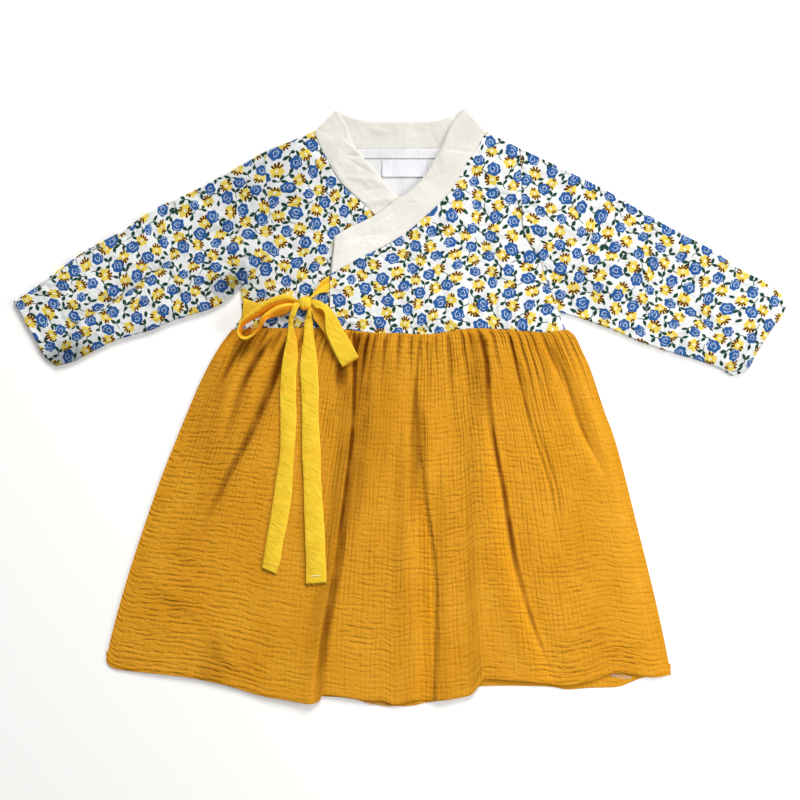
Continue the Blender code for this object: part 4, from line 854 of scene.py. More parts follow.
def cotton_tape():
    """Plain-woven cotton tape in a bright yellow dye: matt, with close ribs across it, fine creases that
    slant over it, and a painted highlight along both edges. Painted shade makes it a deeper orange where its
    mesh marks it, for the shade in its creases and loops and on faces turned from the window, and for the
    light that comes there through other yellow tape."""
    material, add, shader, cloth = new_material("yellow cotton tape")
    across = add("SeparateXYZ", cloth)
    ribs = streaked(add, cloth, 3.0, 0.9, Detail=2.0)
    slanted = add("VectorRotate", {"Vector": cloth, "Angle": math.radians(60)}, rotation_type="Z_AXIS")
    creases = streaked(add, slanted, 7, 13, Detail=2.0, Distortion=1.3)
    cloud = add("TexNoise", {"Vector": cloth, "Scale": 1 / 14, "Detail": 3.0})
    tone = add("Math MULTIPLY_ADD", ribs, 0.4, cloud)
    share = add("MapRange", tone, 0.45, 0.9, 0.0, 1.0)
    seen = add("Mix", {0: share, 6: colour("#ECC024"), 7: colour("#FAD434")}, **IN_COLOUR)
    # Painted highlight: lighter along both edges.
    aside = add("Math ABSOLUTE", across)
    edge = add("MapRange", aside, 8.2, 9.2, 0.0, 0.5)
    seen = add("Mix", {0: edge, 6: seen, 7: colour("#FFE04A")}, **IN_COLOUR)
    # Painted shade: deeper orange where the mesh marks it.
    painted_shading = add("Attribute", out=2, attribute_name="painted_shading")
    seen = add("Mix", {0: painted_shading, 6: seen, 7: colour("#E8920A")}, **IN_COLOUR)
    soft = add("Bump", {"Strength": 0.7, "Distance": 0.0014, "Height": creases})
    relief = add("Bump", {"Strength": 0.4, "Distance": 0.0003, "Height": ribs, "Normal": soft})
    plug(shader, {"Base Color": seen, "Normal": relief, "Roughness": 0.78, "Specular IOR Level": 0.3})
    return material


def sewing_thread(name, code):
    """Spun polyester thread: a little shinier than the cloth it is sewn into."""
    material, add, shader, cloth = new_material(name)
    twist = add("TexNoise", {"Vector": cloth, "Scale": 1 / 0.8, "Detail": 1.0})
    worn = add("MapRange", twist, 0.2, 0.8, 0.82, 1.05)
    seen = add("Mix", {0: 1.0, 6: colour(code), 7: worn}, **IN_COLOUR, blend_type="MULTIPLY")
    plug(shader, {"Base Color": seen, "Roughness": 0.55})
    return material


def placed(name, data):
    """Object of a mesh, light or camera, in the scene."""
    thing = bpy.data.objects.new(name, data)
    bpy.context.scene.collection.objects.link(thing)
    return thing


def quad_mesh(name, points, uv, faces, face_uv, material, marks=None):
    """Mesh from points in millimetres, faces by point number, and a UV place for each corner of each
    face."""
    mesh = bpy.data.meshes.new(name)
    mesh.from_pydata((points * MM).tolist(), [], faces.tolist())
    layer = mesh.uv_layers.new(name="cloth")
    layer.data.foreach_set("uv", (uv[face_uv.ravel()] * MM).astype(np.float32).ravel())
    for mark, values in (marks or {}).items():
        layer = mesh.attributes.new(mark, "FLOAT", "POINT")
        layer.data.foreach_set("value", values.astype(np.float32).ravel())
    mesh.materials.append(material)
    mesh.shade_smooth()
    return placed(name, mesh)


def grid_faces(rows, columns):
    """Corner numbers of the quads of a grid, counter-clockwise where rows run down and columns to the
    right."""
    row, column = np.meshgrid(np.arange(rows - 1), np.arange(columns - 1), indexing="ij")
    row, column = row.ravel(), column.ravel()
    return np.column_stack([row * columns + column, (row + 1) * columns + column,
                            (row + 1) * columns + column + 1, row * columns + column + 1])


def facing(grid):
    """Which way a grid faces on the whole: the cross product of its mean runs down and across."""
    down, across = grid[-1] - grid[0], grid[:, -1] - grid[:, 0]
    return np.cross(down.mean(axis=0), across.mean(axis=0))


def open_sheet(name, grid, uv, material, marks=None, upside_down=False):
    """Sheet of one layer through a grid of points. It faces up, or down where it is seen from below."""
    faces = grid_faces(*grid.shape[:2])
    if (facing(grid)[2] > 0) == upside_down:
        faces = faces[:, ::-1]
    return quad_mesh(name, grid.reshape(-1, 3), uv.reshape(-1, 2), faces, faces, material, marks)


def tube_sheet(name, grid, uv, material, marks=None):
    """Sheet whose last column meets its first, as a sleeve. Its UV grid has one column more."""
    rows, columns = grid.shape[:2]
    face_uv = grid_faces(rows, columns + 1)
    faces = face_uv // (columns + 1) * columns + face_uv % (columns + 1) % columns
    corners = grid.reshape(-1, 3)[faces]
    volume = np.einsum("ij,ij->", corners[:, 0], np.cross(corners[:, 1], corners[:, 2])) \
        + np.einsum("ij,ij->", corners[:, 0], np.cross(corners[:, 2], corners[:, 3]))
    if volume < 0:
        faces, face_uv = faces[:, ::-1], face_uv[:, ::-1]
    return quad_mesh(name, grid.reshape(-1, 3), uv.reshape(-1, 2), faces, face_uv, material, marks)


def normals(grid):
    """Unit normals of a grid of points: the cross product of its slopes down and across."""
    normal = np.cross(np.gradient(grid, axis=0), np.gradient(grid, axis=1))
    return normal / np.maximum(np.linalg.norm(normal, axis=2, keepdims=True), 1e-9)


def upward(grid):
    """Unit normals, turned to the side that faces up on the whole."""
    normal = normals(grid)
    return normal if normal[..., 2].sum() > 0 else -normal


def thick_sheet(name, grid, uv, wall, material, painted_shading=None):
    """Closed shell round a sheet of points with round edges: half the wall on both sides of the sheet,
    times the square root of one less the sixth power of the place across it, and of one less the fortieth
    power of the place along it. Its two faces share their border."""
    rows, columns = grid.shape[:2]
    s, t = np.linspace(-1, 1, columns)[None, :], np.linspace(-1, 1, rows)[:, None]
    swell = np.sqrt(np.clip(1 - s**6, 0, 1)) * np.sqrt(np.clip(1 - t**40, 0, 1))
    lift = upward(grid) * (wall / 2 * swell)[..., None]
    upper, lower = grid + lift, grid - lift
    points = np.vstack([upper.reshape(-1, 3), lower.reshape(-1, 3)])
    number = np.arange(rows * columns).reshape(rows, columns)
    below = number + rows * columns
    below[0], below[-1], below[:, 0], below[:, -1] = number[0], number[-1], number[:, 0], number[:, -1]
    faces = grid_faces(rows, columns)
    if facing(grid) @ upward(grid).mean(axis=(0, 1)) < 0:
        faces = faces[:, ::-1]
    lower_faces = below.ravel()[faces][:, ::-1]
    used = np.unique(np.vstack([faces, lower_faces]))
    renumber = np.zeros(len(points), dtype=int)
    renumber[used] = np.arange(len(used))
    both = renumber[np.vstack([faces, lower_faces])]
    face_uv = np.vstack([faces, faces[:, ::-1]])
    marks = {}
    # Painted shade: the given share, and at least half along the border.
    if painted_shading is not None:
        border = np.ones(painted_shading.shape)
        border[1:-1, 1:-1] = 0
        marks["painted_shading"] = np.tile(np.maximum(painted_shading, 0.5 * border).ravel(), 2)[used]
    return quad_mesh(name, points[used], uv.reshape(-1, 2), both, face_uv, material, marks)


def shaded(grid):
    """Share of a tape's painted shade at each point, as far as the side seen from above faces away from the
    window."""
    normal = normals(grid)
    south = -normal[..., 1] * np.sign(normal[..., 2])
    return ease((south - 0.25) / 0.55)


def near_edges(count):
    """Shares from 0 to 1 that lie closer together towards both ends."""
    even = np.linspace(0, 1, count)
    return 0.45 * even + 0.55 * (1 - np.cos(math.pi * even)) / 2


def waist_at(x):
    """Height of the waist seam at x, on a smooth curve."""
    curve = smooth_curve(WAIST, 12)
    return np.interp(x, curve[:, 0], curve[:, 1])


def gather_phase(x):
    """Whole number at each valley of the gathers along the waist, and shares between them."""
    return np.interp(x, VALLEYS, np.arange(len(VALLEYS)))


def gauze_crinkle(s, t, gathered):
    """Height of the washed-in crinkle at flat cloth coordinates s across and t down. Lines run across in
    waves of about 5 mm, broken and bent by noise. Where the cloth is gathered, upright lines cross them."""
    bend = 0.6 * wander(s, t, 28, 16, 21) + 0.3 * wander(s, t, 11, 8, 22)
    lines = np.sin(math.tau * (t / 5.0 + bend)) * (0.45 + 0.55 * wander(s, t, 19, 10, 23))
    fine = wander(s, t, 9, 2.6, 24)
    sway = 0.8 * wander(s, t, 9, 60, 25)
    upright = np.sin(math.tau * (s / 6.4 + sway)) * (0.5 + 0.5 * wander(s, t, 18, 50, 26))
    return 0.18 * lines + 0.07 * fine + (0.06 + 0.20 * gathered) * upright


def beside_line(x, y, line):
    """How far a place lies to the right of a line that the skirt's tables give by its x at each level."""
    track = smooth_curve(np.column_stack([FOLD_LEVELS, line]), 8)[::-1]
    return x - np.interp(y, track[:, 0], track[:, 1])


def fold_heights(x, y):
    """Sum of the long folds: each is a bell across its line, wide on one side and narrow on the other, and
    fades at its ends. The dimples are bells that are longer one way than the other."""
    z = np.zeros_like(x)
    for line, height, left, right, top, bottom in FOLDS:
        apart = beside_line(x, y, line)
        fade = ease((top - y) / 30) * ease((y - bottom) / 45)
        z += height * fade * np.where(apart < 0, bell(apart, left), bell(apart, right))
    for cx, cy, across, down, depth, turn in DIMPLES:
        p, q = turned_to(x, y, cx, cy, turn)
        z -= depth * bell(p, across) * bell(q, down)
        z += 0.6 * depth * bell(p, across) * bell(q - 1.8 * down, down)
    return z


def fold_tones(x, y):
    """Painted shade and light that the folds give the cloth, from 1, full painted shade in a deep fold, to
    -1, full painted light where the fold beside it would light the cloth. Each row is a box across its line,
    with soft sides, that widens from its start and fades at its end. Of tones that overlap the stronger one
    holds, and noise makes all of them up to three tenths stronger or weaker."""
    tone = np.zeros_like(x)
    for line, left, soft_left, right, soft_right, shade, top, rise, bottom, fade in SHADES:
        apart = beside_line(x, y, line)
        wide = np.sqrt(ease((top - y) / rise))
        box = ease((apart + left * wide) / soft_left + 0.5) * ease((right * wide - apart) / soft_right + 0.5)
        row = shade * box * ease((top - y) / 8) * ease((y - bottom) / fade)
        tone = np.where(tone * row > 0, np.where(np.abs(row) > np.abs(tone), row, tone), tone + row)
    return tone * (1 + 0.3 * wander(x, y, 7, 14, 71))


def wear(x, y):
    """How strongly the cloth is crinkled: more towards the left and in the dimples."""
    mark = 0.36 + 0.51 * ease((-60 - x) / 110) + 0.5 * bell(x - 54, 62) * ease((y + 260) / 120)
    mark = (mark + 0.14 * ease((x - 110) / 60)) * (0.7 + 0.3 * ease((20 - y) / 80))
    mark += 0.14 * wander(x, y, 60, 50, 33)
    for cx, cy, across, down, depth, _ in DIMPLES:
        mark += 0.8 * depth * bell(np.hypot(x - cx, y - cy), (across + down) / 1.6)
    return mark


def pleated(x, y, gathered):
    """Share of the fine upright lines: all of them in the gathers, and some in the places of the table."""
    share = 0.85 * gathered
    for cx, cy, across, down, most in PLEATED:
        share = np.maximum(share, most * np.sqrt(bell(x - cx, across) * bell(y - cy, down)))
    return share


def skirt_flat(u, v, waist, hem):
    """Place of a share u of the width and v of the length, where every height has its own width."""
    left, right = smooth_curve(SKIRT_LEFT, 8)[::-1], smooth_curve(SKIRT_RIGHT, 8)[::-1]

    def edges(y):
        """x of both side seams at a height."""
        return np.interp(y, left[:, 1], left[:, 0]), np.interp(y, right[:, 1], right[:, 0])

    def share_at(rows):
        """Share of the width at each point of the waist or hem, and its height."""
        low, high = edges(rows[:, 1])
        return (rows[:, 0] - low) / (high - low), rows[:, 1]

    waist_u, waist_y = share_at(waist)
    hem_u, hem_y = share_at(hem)
    top, bottom = np.interp(u, waist_u, waist_y) - SEAM, np.interp(u, hem_u, hem_y)
    y = top + (bottom - top) * v
    low, high = edges(y)
    return low + (high - low) * u, y, high - low


def blurred(z, rows, columns):
    """Mean over a window of rows and columns, from running sums."""
    for axis, reach in ((0, rows), (1, columns)):
        wide = np.concatenate([np.repeat(z.take([0], axis), reach + 1, axis), z,
                               np.repeat(z.take([-1], axis), reach, axis)], axis)
        total = np.cumsum(wide, axis)
        span = np.arange(z.shape[axis])
        z = (total.take(span + 2 * reach + 1, axis) - total.take(span, axis)) / (2 * reach + 1)
    return z


def skirt_front():
    """Front of the skirt: a low dome, the gathers below the seam, the long folds and the crinkle, with the
    hem turned under. The height across a gather is a constant less the sixth power of a cosine, so its
    valley is sharper than its ridge."""
    knots = (VALLEYS - VALLEYS[0]) / (VALLEYS[-1] - VALLEYS[0])
    steps = np.arange(12)[None, :] / 12
    columns = np.append((knots[:-1, None] + np.diff(knots)[:, None] * steps).ravel(), 1.0)
    rows = np.linspace(0, 1, SKIRT_ROWS) ** 1.04
    u, v = np.meshgrid(columns, rows)
    waist, hem = smooth_curve(WAIST, 12), smooth_curve(HEM_FRONT, 6)
    x, y, width = skirt_flat(u, v, waist, hem)
    below = skirt_flat(u, 0 * v, waist, hem)[1] - y
    phase = np.interp(u, knots, np.arange(len(knots)))
    wrapped = ease((x - WRAP_EDGE + 8) / 12) * ease((WRAP_END - x) / WRAP_RISE)
    at_seam = UNDER_LEVEL + (OVER_LEVEL - UNDER_LEVEL) * wrapped
    resting = LOWEST_FRONT + 0.4 * GATHER_HEIGHT + SKIRT_DOME * np.sin(math.pi * u) ** 0.6
    z = resting + (at_seam - resting) * bell(below, WAIST_BLEND)
    swell = 0.35 + 0.65 * ease(below / 12)
    even = 0.68 + 0.5 * wander(phase, v, 1.3, 4.0, 35)
    reach = GATHER_REACH * (1.0 + 0.6 * wander(phase, 0 * v, 1.1, 1.0, 36))
    ridge = 0.4 - np.abs(np.cos(math.pi * phase)) ** 6
    gathered = np.exp(-(np.maximum(below, 0) / reach) ** 1.6)
    z += GATHER_HEIGHT * even * swell * ridge * gathered
    z += fold_heights(x, y)
    s, t = (u - 0.5) * SKIRT_CUT[0], v * SKIRT_CUT[1]
    z += gauze_crinkle(s, t, gathered) * ease(below / 5)
    z += 0.5 * wander(s, t, 46, 60, 31) * ease(below / 40)
    edge = ease(np.minimum(u, 1 - u) * width / SIDE_EDGE)
    z = LOWEST_FRONT + (z - LOWEST_FRONT) * edge
    z = np.maximum(z, LOWEST_FRONT - 0.2 * (1 - edge))
    z -= 0.6 * SEAM_GROOVE * bell(below, SEAM_REACH)
    hem_seam = (1 - v) * SKIRT_CUT[1] - HEM_TURN
    z -= 0.35 * bell(hem_seam, 1.3)
    # Painted shade and light: the fold tones, and painted shade in the valleys of the gathers below the seam.
    cleft = np.clip((blurred(z, 2, 7) - z) / 0.55, 0, 1) * gathered
    painted_shading = np.clip(fold_tones(x, y) + 0.62 * cleft * ease(below / 4), -1, 1)
    grid = np.dstack([x, y, z])
    uv = np.dstack([s, -t])
    turned = np.array([0.0, 0.5, 0.9, 1.0])[:, None]
    inside = np.array([3.0, 7.0, 10.0])[:, None]
    roll = np.dstack([np.repeat(x[-1:], 4, 0), y[-1] - 0.5 * np.sin(math.pi * turned), z[-1] - 0.9 * turned])
    under = np.dstack([np.repeat(x[-1:], 3, 0), y[-1] + inside, np.repeat(z[-1:] - 0.9, 3, 0) + 0 * inside])
    grid = np.vstack([grid, roll[1:], under])
    extra = np.repeat(uv[-1:], 6, 0)
    extra[..., 1] -= np.array([0.5, 1.0, 1.5, 4.5, 8.5, 11.5])[:, None]
    marks = {"painted_shading": painted_shading, "gathered": pleated(x, y, gathered), "worn": wear(x, y)}
    marks = {name: np.vstack([mark, np.repeat(mark[-1:], 6, 0)]) for name, mark in marks.items()}
    return grid, np.vstack([uv, extra]), marks


def skirt_back():
    """Back of the skirt: flat where it rests, its own gathers pressed low near the waist, and its hem
    turned up."""
    u, v = np.meshgrid(np.linspace(0, 1, 300), np.linspace(0, 1, 130))
    ends = np.array([WAIST[0], WAIST[-1]])
    hem = smooth_curve(HEM_BACK, 6)
    x, y, _ = skirt_flat(u, v, ends, hem)
    s, t = (u - 0.5) * SKIRT_CUT[0], v * SKIRT_CUT[1]
    below = np.maximum(y[:1] - y, 0)
    phase = u * 33
    z = np.full_like(x, BACK_LEVEL)
    z += 0.35 * np.cos(math.tau * phase) * np.exp(-(below / 55) ** 1.6)
    gathered = np.exp(-(below / 60) ** 1.6)
    z += 0.25 * wander(s, t, 30, 70, 41) + 0.5 * gauze_crinkle(s, t, gathered)
    z = np.clip(z, 0.15, 1.2)
    uv = np.dstack([s + SKIRT_CUT[0], -t])
    # Painted shade in the valleys of the back's gathers.
    return np.dstack([x, y, z]), uv, {"painted_shading": 0.5 * np.clip(-np.cos(math.tau * phase), 0, 1) * gathered,
                                      "gathered": gathered, "worn": wear(x, y)}


def front_grid(armhole, side_seam, seam_rows, edge_x, columns):
    """Outline of one front: its side follows the armhole and side seam, its neck edge the collar and then
    the wrap edge, with a Coons patch between them. Returns the flat grid, the collar's height along the
    neck edge, which rows lie below the underarm, and the share of the way down of each row."""
    spans = 9
    rows = np.array(seam_rows)
    inwards = rows[:, :2] - rows[:, 2:4]
    rows[:, 2:4] += LAPPED * inwards / np.linalg.norm(inwards, axis=1)[:, None]
    seam = smooth_curve(rows[:, 2:5], spans)
    wrap = np.linspace(seam[-1, :2], (edge_x, waist_at(edge_x)), 4 * spans + 1)[1:]
    neck_edge = np.vstack([seam[:, :2], wrap])
    seam_z = np.concatenate([seam[:, 2], np.full(len(wrap), seam[-1, 2])])
    curve = np.vstack([smooth_curve(armhole, 12), smooth_curve(side_seam, 12)[1:]])
    start_y, end_y = curve[0, 1], curve[-1, 1]
    progress = (neck_edge[0, 1] - neck_edge[:, 1]) / (neck_edge[0, 1] - neck_edge[-1, 1])
    side_edge = at_heights(curve, start_y + (end_y - start_y) * progress)
    side_edge[0], side_edge[-1] = curve[0], curve[-1]
    u, v = np.linspace(0, 1, columns), np.linspace(0, 1, len(neck_edge))
    bottom_x = neck_edge[-1, 0] + (side_edge[-1, 0] - neck_edge[-1, 0]) * u
    bottom = np.column_stack([bottom_x, waist_at(bottom_x)])
    top = neck_edge[0] + (side_edge[0] - neck_edge[0]) * u[:, None]
    grid = coons(top, bottom, neck_edge, side_edge, u, v)
    return grid, seam_z, side_edge[:, 1] < armhole[-1][1] + 4, v


def front_heights(grid, seam_z, under_arm, v, base, seed):
    """Heights of a front: its base level, the collar's height along the neck edge, low at the side and
    shoulder, small waves over the gathers of the waist, soft wrinkles, and a groove along each seam."""
    x, y = grid[..., 0], grid[..., 1]
    from_neck = np.linalg.norm(grid - grid[:, :1], axis=2)
    from_side = np.linalg.norm(grid - grid[:, -1:], axis=2)
    z = np.broadcast_to(base, x.shape).copy()
    z += (seam_z[:, None] - z[:, :1]) * bell(from_neck, NECK_BLEND)
    at_side = np.where(under_arm, LOWEST_FRONT, ARMHOLE_LEVEL)[:, None]
    z += (at_side - z[:, -1:]) * bell(from_side, SIDE_BLEND)
    z = LOWEST_FRONT + (z - LOWEST_FRONT) * ease(v / SHOULDER_RISE)[:, None]
    above = y - waist_at(x)
    z -= 0.45 * np.cos(math.tau * gather_phase(x)) * np.exp(-(np.maximum(above, 0) / 16) ** 1.3)
    z += 0.7 * wander(x, y, 38, 30, seed) + 0.3 * wander(x, y, 15, 19, seed + 1)
    z -= SEAM_GROOVE * bell(above, SEAM_REACH)
    z -= SEAM_GROOVE * bell(from_side, SEAM_REACH)
    return np.maximum(z, LOWEST_FRONT - 0.3)


def bodice_over():
    """The over front, which stays clear of the under front and its collar below it."""
    grid, seam_z, under_arm, v = front_grid(ARMHOLE_RIGHT, SIDE_RIGHT, COLLAR_OVER[::-1], WRAP_EDGE, 150)
    base = OVER_BESIDE + (OVER_LEVEL - OVER_BESIDE) * ease((WRAP_END - grid[..., 0]) / WRAP_RISE)
    z = front_heights(grid, seam_z, under_arm, v, base, 51)
    z = np.maximum(z, OVER_LEAST * ease((UNDER_EDGE - grid[..., 0]) / OVER_LEAST_RISE))
    return with_heights(grid, z), grid


def bodice_under():
    """The under front, which stays below the collar of the over front."""
    grid, seam_z, under_arm, v = front_grid(ARMHOLE_LEFT, SIDE_LEFT, COLLAR_UNDER, UNDER_EDGE, 130)
    z = front_heights(grid, seam_z, under_arm, v, UNDER_LEVEL, 61)
    return with_heights(grid, np.minimum(z, UNDER_MOST)), grid


def bodice_back():
    """Back of the bodice, between the shoulders, the neck seam, the side seams and the waist."""
    neck = smooth_curve(np.array(COLLAR_BACK)[::-1, 2:4], 8)
    shoulder = 23
    top = np.vstack([np.linspace(ARMHOLE_LEFT[0], neck[0], shoulder + 1)[:-1], neck,
                     np.linspace(neck[-1], ARMHOLE_RIGHT[0], shoulder + 1)[1:]])
    left = np.vstack([smooth_curve(ARMHOLE_LEFT, 10), smooth_curve(SIDE_LEFT, 10)[1:]])
    right = np.vstack([smooth_curve(ARMHOLE_RIGHT, 10), smooth_curve(SIDE_RIGHT, 10)[1:]])
    u = (top[:, 0] - top[0, 0]) / (top[-1, 0] - top[0, 0])
    v = np.linspace(0, 1, len(left))
    bottom = left[-1] + (right[-1] - left[-1]) * u[:, None]
    grid = coons(top, bottom, left, right, u, v)
    grid[0, shoulder:-shoulder, 1] -= 2 * SEAM
    z = BACK_LEVEL + 0.3 * wander(grid[..., 0], grid[..., 1], 40, 46, 71)
    return with_heights(grid, np.clip(z, 0.2, 1.1)), grid


def lawn_tones(grid):
    """Painted shade of the lawn, in its soft folds and where less light reaches it: a sum of bells that are
    longer one way than the other.
    """
    tone = 0 * grid[..., 0]
    for cx, cy, long_half, half, turn, most in LAWN_SHADES:
        p, q = turned_to(grid[..., 0], grid[..., 1], cx, cy, turn)
        tone += most * bell(p, long_half) * bell(q, half)
    return {"painted_shading": np.clip(tone, 0, 1)}


def sleeve(top_edge, bottom_edge, armhole, cuff, away, seed):
    """Flattened tube from the armhole to the cuff: flat below, round at both edges, domed above, with its
    creases and the cloth turned in at the cuff. `away` moves the first ring clear of the bodice."""
    rings = 150
    u = np.linspace(0, 1, rings)
    upper, lower = along(smooth_curve(top_edge, 12), u), along(smooth_curve(bottom_edge, 12), u)
    height = np.interp(u, *np.array(SLEEVE_LOFT).T) - 0.3
    arm_curve, cuff_curve = smooth_curve(armhole, 12), smooth_curve(cuff, 12)
    width = np.linalg.norm(upper - lower, axis=1)
    r = (height / 2 / width)[:, None]
    turn = np.linspace(0, math.pi, 9)[None, :]
    inner = np.linspace(0, 1, 82)[None, 1:-1]
    round_up, lift_up = r * (1 - np.sin(turn)), 0.5 * (1 - np.cos(turn)) + 0 * r
    over, below = r + (1 - 2 * r) * inner, r + (1 - 2 * r) * inner[:, ::-2]
    share = np.hstack([round_up, over, 1 - round_up, below])
    lift = np.hstack([lift_up, np.ones_like(over), lift_up[:, ::-1], np.zeros_like(below)])
    arm = along(arm_curve, share.ravel()).reshape(*share.shape, 2)
    end = along(cuff_curve, share.ravel()).reshape(*share.shape, 2)
    t = u[:, None, None]
    bow_up = (upper - (1 - u)[:, None] * upper[0] - u[:, None] * upper[-1])[:, None]
    bow_low = (lower - (1 - u)[:, None] * lower[0] - u[:, None] * lower[-1])[:, None]
    flat = (1 - t) * arm + t * end + (1 - share[..., None]) * bow_up + share[..., None] * bow_low
    flat = flat + np.array(away) * 0.5 * SEAM * (1 - t)
    top = lift > 0.99
    dome = (1 - 0.10 * np.cos(math.tau * share)) * (1 - 0.06 * (1 - u[:, None]))
    z = 0.25 + lift * height[:, None] * np.where(top, dome, 1)
    x, y = flat[..., 0], flat[..., 1]
    inside = ease(np.minimum(share, 1 - share) * width[:, None] / 9)
    uv = np.dstack([x, y])
    for x1, y1, x2, y2, x3, y3, depth, half, rise, off, tucked in SLEEVE_CREASES:
        if x1 * x[0, 0] < 0:
            continue
        side, progress = from_path(x, y, [(x1, y1), (x2, y2), (x3, y3)])
        fade = ease(progress / 0.25) * ease((1 - progress) / 0.25)
        z -= top * inside * fade * depth * bell(side, half)
        z += top * inside * fade * rise * (bell(side - off, half * 1.3) + 0.5 * bell(side + off, half * 1.3))
        across = np.array([y1 - y3, x3 - x1]) / math.hypot(x3 - x1, y3 - y1)
        uv += across * (top * fade * tucked * ease(side / 6 + 0.5))[..., None]
    z += top * inside * (0.6 * wander(x, y, 34, 26, seed) + 0.25 * wander(x, y, 13, 11, seed + 1))
    length = np.linalg.norm((upper + lower)[-1] - (upper + lower)[0]) / 2
    to_cuff = (1 - u[:, None]) * length
    z -= top * inside * CUFF_SEAM_DEPTH * bell(to_cuff - CUFF_TURN, 1.6)
    pucker = 0.18 * np.sin(share * width[:, None] * math.tau / 7 + 2 * wander(x, y, 9, 9, seed + 2))
    z += top * inside * pucker * bell(to_cuff - CUFF_TURN, 7)
    z -= top * SEAM_GROOVE * bell(u[:, None] * length, SEAM_REACH)
    tube = np.dstack([x, y, np.maximum(z, 0.05)])
    middle_z = z[-1:].mean()
    inwards = np.array([0.0, 1.0, 4.0, 12.0, 24.0])[:, None]
    way = np.array([-1.0, -0.55]) if x[0, 0] < 0 else np.array([1.0, -0.6])
    way = way / np.linalg.norm(way)
    squeeze = np.array([0.93, 0.86, 0.84, 0.84, 0.84])[:, None]
    turned_in = np.dstack([x[-1] - way[0] * inwards, y[-1] - way[1] * inwards])
    lining = np.dstack([turned_in, middle_z + (z[-1] - middle_z) * squeeze * 0.9])
    lining[..., 0] += (x[-1].mean() - x[-1]) * 0.012
    lining[..., 1] += (y[-1].mean() - y[-1]) * 0.012
    tube = np.vstack([tube, lining])
    uv = np.vstack([uv, turned_in])
    return tube, np.concatenate([uv, uv[:, :1]], axis=1)


def collar_grid():
    """Middle of the band, from the free end of its over stretch round both shoulder folds to its hidden
    end. A shoulder fold is a half turn about the fold line."""
    tuck = COLLAR_FOLD / 2

    def fold(row, inward):
        """Rows round a shoulder fold, from the last row above it down to the level of the back."""
        turn = np.linspace(0, math.pi, 11)[:, None]
        shift = inward * (tuck * (1 - np.sin(turn)) + LINEN / 2)
        return np.hstack([row[:2] + 0.2 * shift, row[2:4] + shift, row[4] - tuck + tuck * np.cos(turn)])

    over, back, under = (smooth_curve(t, 9) for t in (COLLAR_OVER, COLLAR_BACK, COLLAR_UNDER))
    right = fold(over[-1], np.array([-0.72, -0.69]))
    left = fold(under[0], np.array([0.70, -0.72]))[::-1]
    rows = np.vstack([over[:-1], right, back[1:-1], left, under[1:]])
    inset = rows[:, :2] - rows[:, 2:4]
    inset *= SEAM / np.linalg.norm(inset, axis=1)[:, None]
    rows[:, 2:4] += inset
    shares = near_edges(27)[None, :, None]
    flat = rows[:, None, :2] * (1 - shares) + rows[:, None, 2:4] * shares
    middle = (rows[:, :2] + rows[:, 2:4]) / 2
    run = run_along(middle)
    width = np.linalg.norm(rows[:, :2] - rows[:, 2:4], axis=1)
    s = (shares[..., 0] - 0.5) * width[:, None]
    z = rows[:, 4:5] + 0 * s
    pressed = ease(np.minimum(shares[..., 0], 1 - shares[..., 0]) / 0.12)
    soft = 0.2 * wander(s, run[:, None], 12, 50, 81) + 0.25 * wander(flat[..., 0], flat[..., 1], 30, 12, 82)
    z += pressed * soft
    ends = np.cumsum([len(over) - 1, len(right), len(back) - 2, len(left)])
    stretches = {"over": slice(0, ends[0]), "back": slice(ends[1], ends[2]), "under": slice(ends[3], None)}
    for stretch, x1, y1, x2, y2, height, half in COLLAR_CREASES:
        part = stretches[stretch]
        side, progress = from_path(flat[part, :, 0], flat[part, :, 1], [(x1, y1), (x2, y2)])
        z[part] += pressed * 1.35 * height * bell(side, half) * (0.4 + 0.6 * np.sin(math.pi * progress))
    return with_heights(flat, np.maximum(z, LINEN / 2 + 0.02)), np.dstack([s, run[:, None] + 0 * s])


def cell_of(points):
    """Column and row of the height map's cell that each point lies in."""
    place = (points[..., :2] + CELL * CELLS / 2) / CELL
    return tuple(np.moveaxis(place.astype(int), -1, 0))


def height_map(grids):
    """Highest cloth over each cell and the eight cells round it, from the points of the grids and the
    points half-way between them."""
    highest = np.zeros(CELLS)
    for grid in grids:
        for down, across in ((0, 0), (0, 1), (1, 0), (1, 1)):
            half = (grid[:grid.shape[0] - down, :grid.shape[1] - across] + grid[down:, across:]) / 2
            np.maximum.at(highest, cell_of(half), half[..., 2])
    wide = np.pad(highest, 1, mode="edge")
    return np.max([wide[a:a + CELLS[0], b:b + CELLS[1]] for a in range(3) for b in range(3)], axis=0)


def tape_uv(grid):
    """Cloth place on a tape: across from its middle line, scaled to its woven width, and along it."""
    run = run_along(grid[:, grid.shape[1] // 2])
    s = np.linspace(-TAPE_WIDTH / 2, TAPE_WIDTH / 2, grid.shape[1])[None, :] + 0 * run[:, None]
    return np.dstack([s, run[:, None] + 0 * s])


def laid_tape(table, highest, cup, seed):
    """Tape that lies on other cloth. Each row rests on the highest cloth near it, and its middle is
    cupped."""
    rows = smooth_curve(table, TAPE_SPANS)
    shares = near_edges(TAPE_COLUMNS)[None, :, None]
    flat = rows[:, None, :2] * (1 - shares) + rows[:, None, 2:4] * shares
    tops = highest[cell_of(flat)].max(axis=1)
    reach = 6
    wide = np.pad(tops, reach, mode="edge")
    tops = np.max([wide[k:k + len(tops)] for k in range(2 * reach + 1)], axis=0)
    tops = blurred(tops[:, None], reach, 0)[:, 0]
    across = 2 * shares[..., 0] - 1
    z = (tops + TAPE / 2 + rows[:, 4])[:, None] + cup * (1 - across**2)
    run = np.arange(len(rows))[:, None] * 1.0
    z = z + 0.35 * (1 + wander(across * 10, run, 16, 7, seed)) * (1 - across**8)
    flat = flat + 0.35 * np.dstack([across * wander(np.sign(across) * 8, run, 11, 9, seed + 1), 0 * z])
    return with_heights(flat, z)


